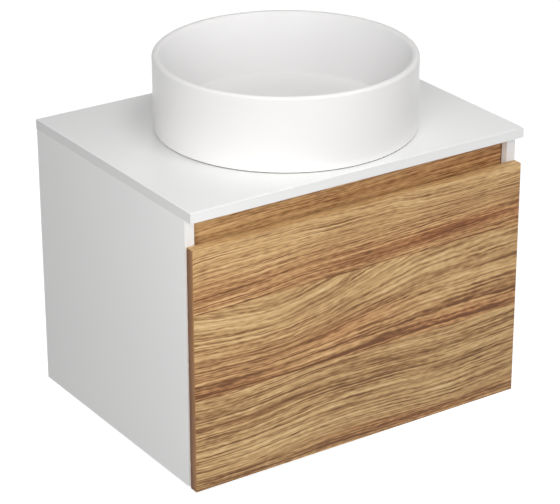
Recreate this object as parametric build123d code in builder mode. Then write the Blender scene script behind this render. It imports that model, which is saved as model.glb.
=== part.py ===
"""Wall-hung bathroom vanity: a cabinet with one deep drawer, a worktop, a round vessel basin and its trap.

Millimetres, +Z up, the front faces -Y. The origin is on the wall plane, at the middle of the cabinet's
underside. The cabinet hangs from two hooks on wall plates, and the drawer runs on telescopic runners.
"""

import os

from build123d import *

os.makedirs("parts", exist_ok=True)

# ---------------------------------------------------------------- driving dimensions
WORKTOP_WIDTH = 600.0
WORKTOP_DEPTH = 450.0
WORKTOP_THICKNESS = 16.0
WORKTOP_ARRIS = 1.0  # rounding of the worktop's top edges
CARCASS_HEIGHT = 430.0  # from the underside to the worktop
BOARD = 16.0  # carcass, drawer and front panels
SIDE_OVERHANG = 1.0  # worktop past each side panel
FRONT_OVERHANG = 18.0  # worktop past the carcass front edges

FRONT_SIDE_REVEAL = 1.5  # side panel left showing beside the drawer front
FRONT_DROP = 2.0  # drawer front below the carcass underside
FINGER_SPACE = 42.0  # drawer front's top edge to the worktop
FRONT_GAP = 2.0  # between the drawer front and the carcass edges
FRONT_ARRIS = 0.6

RAIL_SETBACK = 12.0  # finger rail behind the carcass front edges
RAIL_HEIGHT = 80.0
HANGING_RAIL_HEIGHT = 100.0
LOWER_RAIL_HEIGHT = 80.0
WALL_SPACE = 18.0  # back rails stand off the wall plane

BASIN_OFFSET = 7.0  # basin centre to the right of the cabinet's middle
BASIN_Y = -234.0
BASIN_DIAMETER = 406.0
BASIN_HEIGHT = 117.0
BASIN_WALL = 10.5
BASIN_RIM_ROUNDING = 4.8
BASIN_FLOOR = 20.0  # floor above the basin's underside, at its outer edge
BASIN_FALL = 3.0  # floor's fall to the drain
BASIN_LEAN = 19.0  # how far the inner wall leans in from the rim down to the floor
BASIN_CORNER = 3.0  # rounding where the wall meets the floor
BASIN_FOOT_WIDTH = 16.0
BASIN_FOOT_ROUNDING = 2.5
BASIN_RECESS = 8.0  # hollow under the floor, inside the foot
BASIN_BOSS_RADIUS = 60.0
SEAL_BEAD = 1.0  # bead under the foot

BACK_CLEARANCE = 80.0  # behind the runners, for pipes and hangers
RUNNER_HEIGHT = 45.0
RUNNER_DEPTH = 12.7
RUNNER_STEEL = 1.2
RUNNER_SETBACK = 2.0  # behind the carcass front edges
RUNNER_LIFT = 80.0  # runner's middle above the drawer box's lower edge
RUNNER_SCREW_SHARES = (0.1, 0.5, 0.9)  # of the runner's length
BALL_RADIUS = 1.95
BALL_CLEARANCE = 0.05
BALL_PITCH = 21.0
BALLS_IN_ROW = 8
BALL_HOLE_CLEARANCE = 0.1
CAGE_SHEET = 0.6
CAGE_EDGE = 0.25  # cage strip past its ball holes
MIDDLE_WEB = 4.6  # middle member's web from the cabinet side
FLANGE_REACH = 6.0
CAGE_GAP = 0.3  # cage clear of the channel webs, and of the screw heads
CAGE_END = 5.0  # cage shorter than the channels' overlap with the drawer fully out

BOX_LOWER_CLEARANCE = 24.0  # drawer box above the bottom panel
BOX_UPPER_CLEARANCE = 50.0  # and below the finger rail
BOX_FLOOR = 8.0
BOX_FLOOR_LIFT = 12.0  # floor groove above the sides' lower edge
GROOVE_CLEARANCE = 0.1
RECESS_WIDTH = 150.0  # cut-out round the trap
RECESS_CLEARANCE = 26.0  # in front of the trap
RECESS_WALL = 12.0

SEAT_SEAL = 1.5
WASTE_THREAD_RADIUS = 20.95
WASTE_BORE_RADIUS = 17.5
WASTE_LENGTH = 95.0
WASTE_FLANGE_RADIUS = 32.0
WASTE_FLANGE = 2.5
DRAIN_HOLE_RADIUS = 22.5
DRAIN_SEAT = 2.5  # sunk seat of the flange in the basin floor
TUBE_RADIUS = 16.0
TUBE_WALL = 1.5
THREAD_CLEARANCE = 0.05
TUBE_CLEARANCE = 0.3
WASHER = 4.0
WASHER_RADIUS = 35.0
BACKNUT = 10.0
BACKNUT_FLATS = 60.0
BACKNUT_CHAMFER = 1.0
HUB_RADIUS = 11.0  # ring in the waste that carries the plug's cartridge
HUB_DEPTH = 24.0
HUB_HEIGHT = 8.0
HUB_ARM = 4.0
HUB_ARM_ROOT = 1.0  # the arms' ends inside the waste's wall
FLANGE_BEVEL = 1.0
FLANGE_DISH = (3.0, 2.0)  # slope at the flange's mouth, width and depth
PLUG_LIFT = 8.0  # travel of the plug
PLUG_RADIUS = 31.5
PLUG_EDGE = 2.2
PLUG_CROWN = 4.0
PLUG_ROUNDING = 0.8
PLUG_STEM_RADIUS = 4.0
PLUG_SEAL = 1.8
PLUG_SEAL_GAP = 0.3
PLUG_SEAL_RADII = (24.0, 28.0)
STEM_CLEARANCE = 0.06
CARTRIDGE_RADIUS = 7.0
CARTRIDGE_COLLAR_RADIUS = 9.0
CARTRIDGE_WALL = 3.0
SPRING_COIL_RADIUS = 3.2
SPRING_WIRE_RADIUS = 0.4
SPRING_TURNS = 4
SPRING_END_GAP = 0.2
SPRING_ROOM = 1.0  # cartridge floor below the stem's lowest reach

TRAP_OUTLET_DROP = 190.0  # outlet's middle below the worktop
TRAP_RADIUS = 30.0
TRAP_WALL = 2.5
TRAP_ROOF = 3.5  # wall at the top of the trap body
TRAP_ROUNDING = 4.0
TRAP_ABOVE_OUTLET = 35.0
TRAP_BELOW_OUTLET = 28.0
SKIRT_STEP = 2.0  # threaded skirt inside the trap body's outer radius
SKIRT_HEIGHT = 20.0
BRANCH_LENGTH = 25.0  # outlet neck past the trap body
CUP_DEPTH = 92.0  # cup's underside below the trap body's shoulder
CUP_OVER = 1.5  # cup's radius past the trap body
CUP_ROUNDING = 12.0
CUP_SEAL = 2.0
DIP_CLEARANCE = 30.0  # inlet tube's end above the cup's underside
UNION_WALL = 5.0
UNION_GRIP = 16.0  # union nut's overlap with the waste thread
UNION_SEAL = 2.0
COLLAR = 3.0  # collar on the inlet tube
NUT_WALL = 4.0
NUT_HEIGHT = 20.0
NECK_WALL = 4.7
NECK_HEIGHT = 17.0
CONE_SEAL = 5.0
NUT_LIP = 3.0
NUT_RIBS = 12
RIB_RADIUS = 1.6
CUP_GRIP = 14.0
OUTLET_INSERT = 16.0  # outlet tube inside the trap's neck
MARK_GAP = 4.0  # from the outlet's nut to the insertion mark, a groove round the tube
MARK_WIDTH = 2.0
MARK_DEPTH = 0.4

SCREW_RADIUS = 1.75
SCREW_HEAD_RADIUS = 3.5
SCREW_HEAD = 2.0
BOX_SCREW_FROM_LOW = 35.0
BOX_SCREW_FROM_TOP = 30.0
FRONT_SCREW_FROM_SIDE = 50.0
FRONT_SCREW_FROM_LOW = 50.0
FRONT_SCREW_FROM_TOP = 40.0
SHORT_SCREW = 14.0
LONG_SCREW = 34.0
FRONT_SCREW = 28.0
PILOT_CLEARANCE = 0.05
DOWEL_RADIUS = 4.0
DOWEL_LENGTH = 30.0
DOWEL_IN_SIDE = 10.0
DOWEL_CLEARANCE = 0.05
DOWEL_CHAMFER = 0.8
DOWEL_MARGIN = 18.0  # from a rail's edge
CAM_RADIUS = 7.5
CAM_HEIGHT = 12.5
CAM_INSET = 24.0  # cam centre from the side panel's inner face
CAM_MARGIN = 60.0  # cams from the bottom panel's front and back edges
CAM_BOLT_RADIUS = 3.0
CAM_BOLT_THREAD = 10.0
CAM_BOLT_HOLE_RADIUS = 4.0
CAM_BOLT_HEAD = 3.0
CAM_CLEARANCE = 0.05
CAM_SLOT = (10.5, 1.6, 2.0)
CAM_CHANNEL_END = 1.0  # the bolt's channel past the cam's centre and past its rim

HANGER_WIDTH = 17.0
HANGER_LENGTH = 60.0
HANGER_HEIGHT = 60.0
HANGER_ROUNDING = 4.0
HANGER_ABOVE_HOOK = 10.0
HANGER_FOOT = 3.0  # thickness under the screw heads
HANGER_FOOT_LENGTH = 20.0
HANGER_SCREW_MARGIN = 12.0
HANGER_SLOT_START = 28.0  # the hook's slot from the hanger's front
HOOK_THICKNESS = 4.0
HOOK_ARM = 10.0
HOOK_BELOW_TOP = 25.0  # hook's top below the worktop
HOOK_DROP = 10.0
HOOK_LIP = 3.0
HOOK_CLEARANCE = 2.0
HOOK_END_CLEARANCE = 1.0
HOOK_BEHIND_LIP = 0.5  # hook from the wall plate's back half
PLATE_SHEET = 2.0
PLATE_WIDTH = 36.0
PLATE_STEP = 7.0  # the upper half of the wall plate stands off the wall by this
PLATE_LIP = 23.0  # height of that half
PLATE_SIDE_CLEARANCE = 1.0
PLATE_FLAT = 36.0  # height of the half on the wall
PLATE_HOLE_RADIUS = 3.0
PLATE_HOLE_SPACING = 20.0

ANGLE_LEG = 20.0
ANGLE_SHEET = 2.0
ANGLE_WIDTH = 18.0
ANGLE_HOLE = 12.0  # from the angle's corner
ANGLE_FROM_FRONT = (90.0, 300.0)

BUMPER_RADIUS = 4.0
BUMPER_CLEARANCE = 0.2

SAME_RADIUS = 0.01  # two radii nearer than this are alike

# ---------------------------------------------------------------- derived places
SIDES = (("left", -1), ("right", 1))
ON_TOP = (Align.CENTER, Align.CENTER, Align.MIN)

carcass_half = WORKTOP_WIDTH / 2 - SIDE_OVERHANG
inside_half = carcass_half - BOARD
carcass_front = FRONT_OVERHANG - WORKTOP_DEPTH
worktop_top = CARCASS_HEIGHT + WORKTOP_THICKNESS

front_back = carcass_front - FRONT_GAP
front_face = front_back - BOARD
front_half = carcass_half - FRONT_SIDE_REVEAL
front_top = CARCASS_HEIGHT - FINGER_SPACE

rail_front = carcass_front + RAIL_SETBACK
rail_bottom = CARCASS_HEIGHT - RAIL_HEIGHT
back_rail_back = -WALL_SPACE
back_rail_front = back_rail_back - BOARD
hanging_rail_bottom = CARCASS_HEIGHT - HANGING_RAIL_HEIGHT

runner_front = carcass_front + RUNNER_SETBACK
runner_back = -BACK_CLEARANCE
runner_length = runner_back - runner_front
box_half = inside_half - RUNNER_DEPTH
box_inside = box_half - BOARD
box_back = front_back + runner_length
box_low = BOARD + BOX_LOWER_CLEARANCE
box_top = rail_bottom - BOX_UPPER_CLEARANCE
runner_z = box_low + RUNNER_LIFT
floor_low = box_low + BOX_FLOOR_LIFT
floor_top = floor_low + BOX_FLOOR
groove_depth = BOARD / 2
recess_left = BASIN_OFFSET - RECESS_WIDTH / 2
recess_right = BASIN_OFFSET + RECESS_WIDTH / 2
recess_front = BASIN_Y - TRAP_RADIUS - RECESS_CLEARANCE

basin_radius = BASIN_DIAMETER / 2
bowl_radius = basin_radius - BASIN_WALL
floor_radius = bowl_radius - BASIN_LEAN
basin_low = worktop_top + SEAL_BEAD
basin_rim = basin_low + BASIN_HEIGHT
floor_edge = basin_low + BASIN_FLOOR
drain_floor = floor_edge - BASIN_FALL
seat = drain_floor - DRAIN_SEAT

outlet_z = CARCASS_HEIGHT - TRAP_OUTLET_DROP
trap_top = outlet_z + TRAP_ABOVE_OUTLET
trap_shoulder = outlet_z - TRAP_BELOW_OUTLET
cup_low = trap_shoulder - CUP_DEPTH
tube_bore = TUBE_RADIUS - TUBE_WALL
neck_bore = TUBE_RADIUS + TUBE_CLEARANCE
neck_radius = neck_bore + NECK_WALL
nut_radius = neck_radius + NUT_WALL
union_radius = WASTE_THREAD_RADIUS + THREAD_CLEARANCE + UNION_WALL
hook_top = CARCASS_HEIGHT - HOOK_BELOW_TOP

WASTE_PLANE = Plane(origin=(BASIN_OFFSET, BASIN_Y, 0), x_dir=(1, 0, 0), z_dir=(0, -1, 0))
WASTE_AXIS = Axis((BASIN_OFFSET, BASIN_Y, 0), (0, 0, 1))


# ---------------------------------------------------------------- shared shapes
def block(x, y, z, mode=Mode.ADD):
    """Add or cut a box between two places on each axis."""
    with Locations(((x[0] + x[1]) / 2, (y[0] + y[1]) / 2, (z[0] + z[1]) / 2)):
        Box(abs(x[1] - x[0]), abs(y[1] - y[0]), abs(z[1] - z[0]), mode=mode)


def round_edges(part, radius):
    """The part's circular edges of this radius, lowest first."""
    circles = part.edges().filter_by(GeomType.CIRCLE)
    return circles.filter_by(lambda edge: abs(edge.radius - radius) < SAME_RADIUS).sort_by(Axis.Z)


def turn(*points, mode=Mode.ADD):
    """Spin an outline of (radius, height) points about the upright axis of the waste."""
    with BuildSketch(WASTE_PLANE) as outline:
        with BuildLine():
            Polyline(*points, close=True)
        make_face()
    revolve(outline.sketch, axis=WASTE_AXIS, mode=mode)


def ring(inner, outer, low, high, mode=Mode.ADD):
    """Add or cut a plain ring about the upright axis of the waste."""
    turn((inner, low), (outer, low), (outer, high), (inner, high), mode=mode)


def rods(spots, radius, length, mode=Mode.ADD):
    """Add or cut a round rod that starts at each spot and runs along the spot's normal."""
    with Locations(*spots):
        Cylinder(radius, length, align=ON_TOP, mode=mode)


def ribs(place, circle_radius, length):
    """Grip ribs on a nut: a ring of rods that run along the normal of the place."""
    with Locations(place):
        with PolarLocations(circle_radius, NUT_RIBS):
            Cylinder(RIB_RADIUS, length, align=ON_TOP)


def spot(x, y, z, way):
    """A place on a surface and the way that a drill or a fastener goes in."""
    return Plane((x, y, z), z_dir=way)


def screws(spots, length):
    """Pan-head screws, their heads seated on the spots."""
    rods(spots, SCREW_RADIUS, length)
    heads = [place.offset(-SCREW_HEAD) for place in spots]
    rods(heads, SCREW_HEAD_RADIUS, SCREW_HEAD)


def pilots(spots, length):
    """Holes for those screws, through whatever the active part has on their way."""
    rods(spots, SCREW_RADIUS + PILOT_CLEARANCE, length, mode=Mode.SUBTRACT)


LEFTWARDS, RIGHTWARDS = (-1, 0, 0), (1, 0, 0)
FORWARDS, BACKWARDS = (0, -1, 0), (0, 1, 0)
UPWARDS = (0, 0, 1)

# ---------------------------------------------------------------- where the fittings go
# Cams and dowels join the four cross panels to the sides. Each line: a place across the joint (y, z),
# and for cams the way their hole is drilled.
bottom_mid = BOARD / 2
rail_mid = rail_front + BOARD / 2
back_rail_mid = back_rail_front + BOARD / 2
cam_lines = (
    (-CAM_MARGIN, bottom_mid, UPWARDS, "bottom_panel"),
    (carcass_front + CAM_MARGIN, bottom_mid, UPWARDS, "bottom_panel"),
    (rail_mid, rail_bottom + RAIL_HEIGHT / 2, BACKWARDS, "finger_rail"),
    (back_rail_mid, hanging_rail_bottom + DOWEL_MARGIN, BACKWARDS, "hanging_rail"),
    (back_rail_mid, BOARD + LOWER_RAIL_HEIGHT / 2, BACKWARDS, "lower_back_rail"),
)
dowel_lines = (
    (-2 * CAM_MARGIN, bottom_mid, "bottom_panel"),
    (carcass_front + 2 * CAM_MARGIN, bottom_mid, "bottom_panel"),
    (rail_mid, rail_bottom + DOWEL_MARGIN, "finger_rail"),
    (rail_mid, CARCASS_HEIGHT - DOWEL_MARGIN, "finger_rail"),
    (back_rail_mid, hanging_rail_bottom + 2 * DOWEL_MARGIN, "hanging_rail"),
    (back_rail_mid, CARCASS_HEIGHT - DOWEL_MARGIN / 2, "hanging_rail"),
    (back_rail_mid, BOARD + DOWEL_MARGIN, "lower_back_rail"),
    (back_rail_mid, BOARD + LOWER_RAIL_HEIGHT - DOWEL_MARGIN, "lower_back_rail"),
)
cam_depth = BOARD / 2  # of the bolt's centre line below the face that the cam is let into


def cam_spot(sign, y, z, face_way):
    """The mouth of a cam's hole, and the way it is drilled into the panel."""
    into = tuple(-value for value in face_way)
    x = sign * (inside_half - CAM_INSET)
    return spot(x, y + face_way[1] * cam_depth, z + face_way[2] * cam_depth, into)


def joint_holes(panel):
    """Cam, bolt and dowel holes at both ends of a cross panel."""
    for _, sign in SIDES:
        outwards = (sign, 0, 0)
        for y, z, face_way, owner in cam_lines:
            if owner == panel:
                mouth = cam_spot(sign, y, z, face_way)
                rods([mouth], CAM_RADIUS + CAM_CLEARANCE, CAM_HEIGHT, Mode.SUBTRACT)
                bolt = spot(sign * (inside_half - CAM_INSET), y, z, outwards)
                rods([bolt], CAM_BOLT_HOLE_RADIUS, CAM_INSET, Mode.SUBTRACT)
        for y, z, owner in dowel_lines:
            if owner == panel:
                inner_end = inside_half - (DOWEL_LENGTH - DOWEL_IN_SIDE) - PILOT_CLEARANCE
                mouth = spot(sign * inner_end, y, z, outwards)
                rods([mouth], DOWEL_RADIUS + DOWEL_CLEARANCE, DOWEL_LENGTH, Mode.SUBTRACT)


# Runner screws: through the cabinet member into the side panel, and the drawer member into the drawer.
runner_screw_y = [runner_front + runner_length * share for share in RUNNER_SCREW_SHARES]
side_runner_spots = {
    side: [spot(sign * (inside_half - RUNNER_STEEL), y, runner_z, (sign, 0, 0)) for y in runner_screw_y]
    for side, sign in SIDES
}
box_runner_spots = {
    side: [spot(sign * (box_half + RUNNER_STEEL), y, runner_z, (-sign, 0, 0)) for y in runner_screw_y]
    for side, sign in SIDES
}

# Angle brackets: one screw up into the worktop and one sideways into the panel.
angle_y = [carcass_front + distance for distance in ANGLE_FROM_FRONT]
angle_top_spots = [
    spot(sign * (inside_half - ANGLE_HOLE), y, CARCASS_HEIGHT - ANGLE_SHEET, UPWARDS)
    for _, sign in SIDES
    for y in angle_y
]
angle_side_spots = {
    side: [
        spot(sign * (inside_half - ANGLE_SHEET), y, CARCASS_HEIGHT - ANGLE_HOLE, (sign, 0, 0))
        for y in angle_y
    ]
    for side, sign in SIDES
}

# Hangers: a body inside each upper back corner, and its hook through the hanging rail.
hanger_back = back_rail_front
hanger_front = hanger_back - HANGER_LENGTH
hanger_low = hook_top - HANGER_HEIGHT + HANGER_ABOVE_HOOK
hanger_high = hanger_low + HANGER_HEIGHT
hanger_slot_start = hanger_front + HANGER_SLOT_START
hook_x = inside_half - HANGER_WIDTH / 2
plate_lip_top = hook_top - HOOK_ARM
plate_step_z = plate_lip_top - PLATE_LIP
plate_low = plate_step_z - PLATE_FLAT
plate_outer = inside_half - PLATE_SIDE_CLEARANCE
plate_middle = plate_outer - PLATE_WIDTH / 2
plate_hole_z = plate_low + PLATE_FLAT / 2
hanger_screw_z = (hanger_low + HANGER_SCREW_MARGIN, hanger_high - HANGER_SCREW_MARGIN)
hanger_screw_y = hanger_front + HANGER_FOOT_LENGTH / 2
hanger_spots = {
    side: [
        spot(sign * (inside_half - HANGER_FOOT), hanger_screw_y, z, (sign, 0, 0))
        for z in hanger_screw_z
    ]
    for side, sign in SIDES
}

# Drawer box screws: sides into the inner front and the backs, recess walls into the backs.
box_screw_z = (box_low + BOX_SCREW_FROM_LOW, box_top - BOX_SCREW_FROM_TOP)
inner_front_mid = front_back + BOARD / 2
box_back_mid = box_back - BOARD / 2
recess_front_mid = recess_front - RECESS_WALL / 2
box_side_spots = {
    side: [
        spot(sign * box_half, y, z, (-sign, 0, 0))
        for y in (inner_front_mid, box_back_mid)
        for z in box_screw_z
    ]
    for side, sign in SIDES
}
recess_side = {"left": recess_left, "right": recess_right}
recess_back_spots = {
    side: [spot(recess_side[side], box_back_mid, z, (sign, 0, 0)) for z in box_screw_z]
    for side, sign in SIDES
}
recess_front_spots = {
    side: [
        spot(recess_side[side] + sign * RECESS_WALL, recess_front_mid, z, (-sign, 0, 0))
        for z in box_screw_z
    ]
    for side, sign in SIDES
}
front_screw_x = box_inside - FRONT_SCREW_FROM_SIDE
front_spots = [
    spot(x, front_back + BOARD, z, FORWARDS)
    for x in (-front_screw_x, front_screw_x)
    for z in (box_low + FRONT_SCREW_FROM_LOW, box_top - FRONT_SCREW_FROM_TOP)
]

# ---------------------------------------------------------------- cabinet panels
for side, sign in SIDES:
    with BuildPart() as side_panel:
        block((sign * inside_half, sign * carcass_half), (carcass_front, 0), (0, CARCASS_HEIGHT))
        for y, z, _, _ in cam_lines:
            thread = spot(sign * inside_half, y, z, (sign, 0, 0))
            rods([thread], CAM_BOLT_RADIUS + PILOT_CLEARANCE, CAM_BOLT_THREAD, Mode.SUBTRACT)
        for y, z, _ in dowel_lines:
            mouth = spot(sign * inside_half, y, z, (sign, 0, 0))
            rods([mouth], DOWEL_RADIUS + DOWEL_CLEARANCE, DOWEL_IN_SIDE, Mode.SUBTRACT)
        pilots(side_runner_spots[side] + angle_side_spots[side] + hanger_spots[side], SHORT_SCREW)
    side_panel.part.label = f"side_panel_{side}"
    export_step(side_panel.part, f"parts/side_panel_{side}.step")

with BuildPart() as bottom_panel:
    block((-inside_half, inside_half), (carcass_front, 0), (0, BOARD))
    joint_holes("bottom_panel")
bottom_panel.part.label = "bottom_panel"
export_step(bottom_panel.part, "parts/bottom_panel.step")

with BuildPart() as finger_rail:
    block((-inside_half, inside_half), (rail_front, rail_front + BOARD), (rail_bottom, CARCASS_HEIGHT))
    joint_holes("finger_rail")
finger_rail.part.label = "finger_rail"
export_step(finger_rail.part, "parts/finger_rail.step")

with BuildPart() as hanging_rail:
    rail_heights = (hanging_rail_bottom, CARCASS_HEIGHT)
    block((-inside_half, inside_half), (back_rail_front, back_rail_back), rail_heights)
    joint_holes("hanging_rail")
    for _, sign in SIDES:
        notch_half = HOOK_THICKNESS / 2 + HOOK_CLEARANCE
        notch_x = (sign * hook_x - notch_half, sign * hook_x + notch_half)
        notch_z = (hook_top - HOOK_ARM - HOOK_CLEARANCE, hook_top + HOOK_CLEARANCE)
        block(notch_x, (back_rail_front, back_rail_back), notch_z, Mode.SUBTRACT)
hanging_rail.part.label = "hanging_rail"
export_step(hanging_rail.part, "parts/hanging_rail.step")

with BuildPart() as lower_back_rail:
    rail_heights = (BOARD, BOARD + LOWER_RAIL_HEIGHT)
    block((-inside_half, inside_half), (back_rail_front, back_rail_back), rail_heights)
    joint_holes("lower_back_rail")
lower_back_rail.part.label = "lower_back_rail"
export_step(lower_back_rail.part, "parts/lower_back_rail.step")

with BuildPart() as worktop:
    worktop_half = WORKTOP_WIDTH / 2
    block((-worktop_half, worktop_half), (-WORKTOP_DEPTH, 0), (CARCASS_HEIGHT, worktop_top))
    fillet(worktop.faces().sort_by(Axis.Z)[-1].edges(), WORKTOP_ARRIS)
    ring(0, DRAIN_HOLE_RADIUS, CARCASS_HEIGHT, worktop_top, Mode.SUBTRACT)
    pilots(angle_top_spots, SHORT_SCREW)
worktop.part.label = "worktop"
export_step(worktop.part, "parts/worktop.step")

# ---------------------------------------------------------------- cabinet fittings
with BuildPart() as panel_dowels:
    for _, sign in SIDES:
        inner_end = inside_half - (DOWEL_LENGTH - DOWEL_IN_SIDE)
        ends = [spot(sign * inner_end, y, z, (sign, 0, 0)) for y, z, _ in dowel_lines]
        rods(ends, DOWEL_RADIUS, DOWEL_LENGTH)
    chamfer(panel_dowels.edges().filter_by(GeomType.CIRCLE), DOWEL_CHAMFER)
panel_dowels.part.label = "panel_dowels"
export_step(panel_dowels.part, "parts/panel_dowels.step")

with BuildPart() as cam_bolts:
    for _, sign in SIDES:
        start = sign * (inside_half - CAM_INSET)
        heads = [spot(start, y, z, (sign, 0, 0)) for y, z, _, _ in cam_lines]
        rods(heads, CAM_BOLT_RADIUS, CAM_INSET + CAM_BOLT_THREAD)
        rods(heads, CAM_BOLT_HOLE_RADIUS - CAM_CLEARANCE, CAM_BOLT_HEAD)
cam_bolts.part.label = "cam_bolts"
export_step(cam_bolts.part, "parts/cam_bolts.step")

with BuildPart() as cam_housings:
    for _, sign in SIDES:
        for y, z, face_way, _ in cam_lines:
            mouth = cam_spot(sign, y, z, face_way)
            rods([mouth], CAM_RADIUS, CAM_HEIGHT)
            channel = spot(sign * (inside_half - CAM_INSET - CAM_CHANNEL_END), y, z, (sign, 0, 0))
            rods([channel], CAM_BOLT_HOLE_RADIUS, CAM_RADIUS + 2 * CAM_CHANNEL_END, Mode.SUBTRACT)
            with Locations(mouth):
                Box(*CAM_SLOT, mode=Mode.SUBTRACT)
cam_housings.part.label = "cam_housings"
export_step(cam_housings.part, "parts/cam_housings.step")

with BuildPart() as worktop_brackets:
    for _, sign in SIDES:
        for y in angle_y:
            width = (y - ANGLE_WIDTH / 2, y + ANGLE_WIDTH / 2)
            leg = (sign * (inside_half - ANGLE_LEG), sign * inside_half)
            block(leg, width, (CARCASS_HEIGHT - ANGLE_SHEET, CARCASS_HEIGHT))
            upright = (sign * (inside_half - ANGLE_SHEET), sign * inside_half)
            block(upright, width, (CARCASS_HEIGHT - ANGLE_LEG, CARCASS_HEIGHT))
    pilots(angle_top_spots + angle_side_spots["left"] + angle_side_spots["right"], ANGLE_SHEET)
worktop_brackets.part.label = "worktop_brackets"
export_step(worktop_brackets.part, "parts/worktop_brackets.step")

with BuildPart() as cabinet_screws:
    screws(angle_top_spots, SHORT_SCREW)
    for side, _ in SIDES:
        screws(angle_side_spots[side] + hanger_spots[side], SHORT_SCREW)
        screws(side_runner_spots[side], SHORT_SCREW)
cabinet_screws.part.label = "cabinet_screws"
export_step(cabinet_screws.part, "parts/cabinet_screws.step")

# ---------------------------------------------------------------- hanging gear
for side, sign in SIDES:
    with BuildPart() as hanger:
        block(
            (sign * (inside_half - HANGER_WIDTH), sign * inside_half),
            (hanger_front, hanger_back),
            (hanger_low, hanger_high),
        )
        fillet(hanger.edges().filter_by(Axis.X), HANGER_ROUNDING)
        # the foot in front of the body is thin, so that the screws reach the panel
        step_x = (sign * (inside_half - HANGER_WIDTH), sign * (inside_half - HANGER_FOOT))
        step_y = (hanger_front, hanger_front + HANGER_FOOT_LENGTH)
        block(step_x, step_y, (hanger_low, hanger_high), Mode.SUBTRACT)
        slot_half = HOOK_THICKNESS / 2 + PILOT_CLEARANCE
        slot_x = (sign * hook_x - slot_half, sign * hook_x + slot_half)
        slot_z = (hook_top - HOOK_ARM - PILOT_CLEARANCE, hook_top + PILOT_CLEARANCE)
        block(slot_x, (hanger_slot_start, hanger_back), slot_z, Mode.SUBTRACT)
        pilots(hanger_spots[side], HANGER_FOOT)
    hanger.part.label = f"hanger_{side}"
    export_step(hanger.part, f"parts/hanger_{side}.step")

    with BuildPart() as hanger_hook:
        hook_span = (sign * hook_x - HOOK_THICKNESS / 2, sign * hook_x + HOOK_THICKNESS / 2)
        hook_back = -PLATE_SHEET - HOOK_BEHIND_LIP
        hook_front = hanger_slot_start + HOOK_END_CLEARANCE
        block(hook_span, (hook_front, hook_back), (hook_top - HOOK_ARM, hook_top))
        block(hook_span, (hook_back - HOOK_LIP, hook_back), (hook_top - HOOK_ARM - HOOK_DROP, hook_top))
    hanger_hook.part.label = f"hanger_hook_{side}"
    export_step(hanger_hook.part, f"parts/hanger_hook_{side}.step")

    with BuildPart() as wall_plate:
        plate_x = (sign * (plate_outer - PLATE_WIDTH), sign * plate_outer)
        block(plate_x, (-PLATE_SHEET, 0), (plate_low, plate_step_z + PLATE_SHEET))
        block(plate_x, (-PLATE_STEP - PLATE_SHEET, 0), (plate_step_z, plate_step_z + PLATE_SHEET))
        block(plate_x, (-PLATE_STEP - PLATE_SHEET, -PLATE_STEP), (plate_step_z, plate_lip_top))
        for offset in (-PLATE_HOLE_SPACING / 2, PLATE_HOLE_SPACING / 2):
            hole = spot(sign * plate_middle, -PLATE_SHEET, plate_hole_z + offset, BACKWARDS)
            rods([hole], PLATE_HOLE_RADIUS, PLATE_SHEET, Mode.SUBTRACT)
    wall_plate.part.label = f"wall_plate_{side}"
    export_step(wall_plate.part, f"parts/wall_plate_{side}.step")

# ---------------------------------------------------------------- basin
with BuildPart() as basin:
    turn(
        (0, basin_low),
        (basin_radius, basin_low),
        (basin_radius, basin_rim),
        (bowl_radius, basin_rim),
        (floor_radius, floor_edge),
        (WASTE_FLANGE_RADIUS, drain_floor),
        (0, drain_floor),
    )
    rim_edges = basin.edges().group_by(Axis.Z)[-1]
    fillet(rim_edges, BASIN_RIM_ROUNDING)
    fillet(round_edges(basin, floor_radius)[0], BASIN_CORNER)
    fillet(round_edges(basin, basin_radius)[0], BASIN_FOOT_ROUNDING)
    foot_inner = basin_radius - BASIN_FOOT_WIDTH
    ring(BASIN_BOSS_RADIUS, foot_inner, basin_low, basin_low + BASIN_RECESS, Mode.SUBTRACT)
    ring(0, WASTE_FLANGE_RADIUS + TUBE_CLEARANCE, seat, floor_edge, Mode.SUBTRACT)
    ring(0, DRAIN_HOLE_RADIUS, basin_low, floor_edge, Mode.SUBTRACT)
basin.part.label = "basin"
export_step(basin.part, "parts/basin.step")

with BuildPart() as basin_seal:
    ring(foot_inner, basin_radius - BASIN_FOOT_ROUNDING, worktop_top, basin_low)
basin_seal.part.label = "basin_seal"
export_step(basin_seal.part, "parts/basin_seal.step")

# ---------------------------------------------------------------- waste and plug
flange_low = seat + SEAT_SEAL
flange_top = flange_low + WASTE_FLANGE
waste_low = flange_low - WASTE_LENGTH
hub_low = flange_low - HUB_DEPTH
hub_high = hub_low + HUB_HEIGHT

with BuildPart() as waste_body:
    turn(
        (WASTE_BORE_RADIUS, waste_low),
        (WASTE_THREAD_RADIUS, waste_low),
        (WASTE_THREAD_RADIUS, flange_low),
        (WASTE_FLANGE_RADIUS, flange_low),
        (WASTE_FLANGE_RADIUS - FLANGE_BEVEL, flange_top),
        (WASTE_BORE_RADIUS + FLANGE_DISH[0], flange_top),
        (WASTE_BORE_RADIUS, flange_top - FLANGE_DISH[1]),
    )
    ring(0, HUB_RADIUS, hub_low, hub_high)
    arm = WASTE_BORE_RADIUS + HUB_ARM_ROOT
    with Locations((BASIN_OFFSET, BASIN_Y, (hub_low + hub_high) / 2)):
        Box(2 * arm, HUB_ARM, HUB_HEIGHT)
        Box(HUB_ARM, 2 * arm, HUB_HEIGHT)
    ring(0, CARTRIDGE_RADIUS + THREAD_CLEARANCE, hub_low, hub_high, Mode.SUBTRACT)
waste_body.part.label = "waste_body"
export_step(waste_body.part, "parts/waste_body.step")

with BuildPart() as waste_seat_seal:
    ring(WASTE_THREAD_RADIUS + TUBE_CLEARANCE, WASTE_FLANGE_RADIUS - FLANGE_BEVEL, seat, flange_low)
waste_seat_seal.part.label = "waste_seat_seal"
export_step(waste_seat_seal.part, "parts/waste_seat_seal.step")

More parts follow.
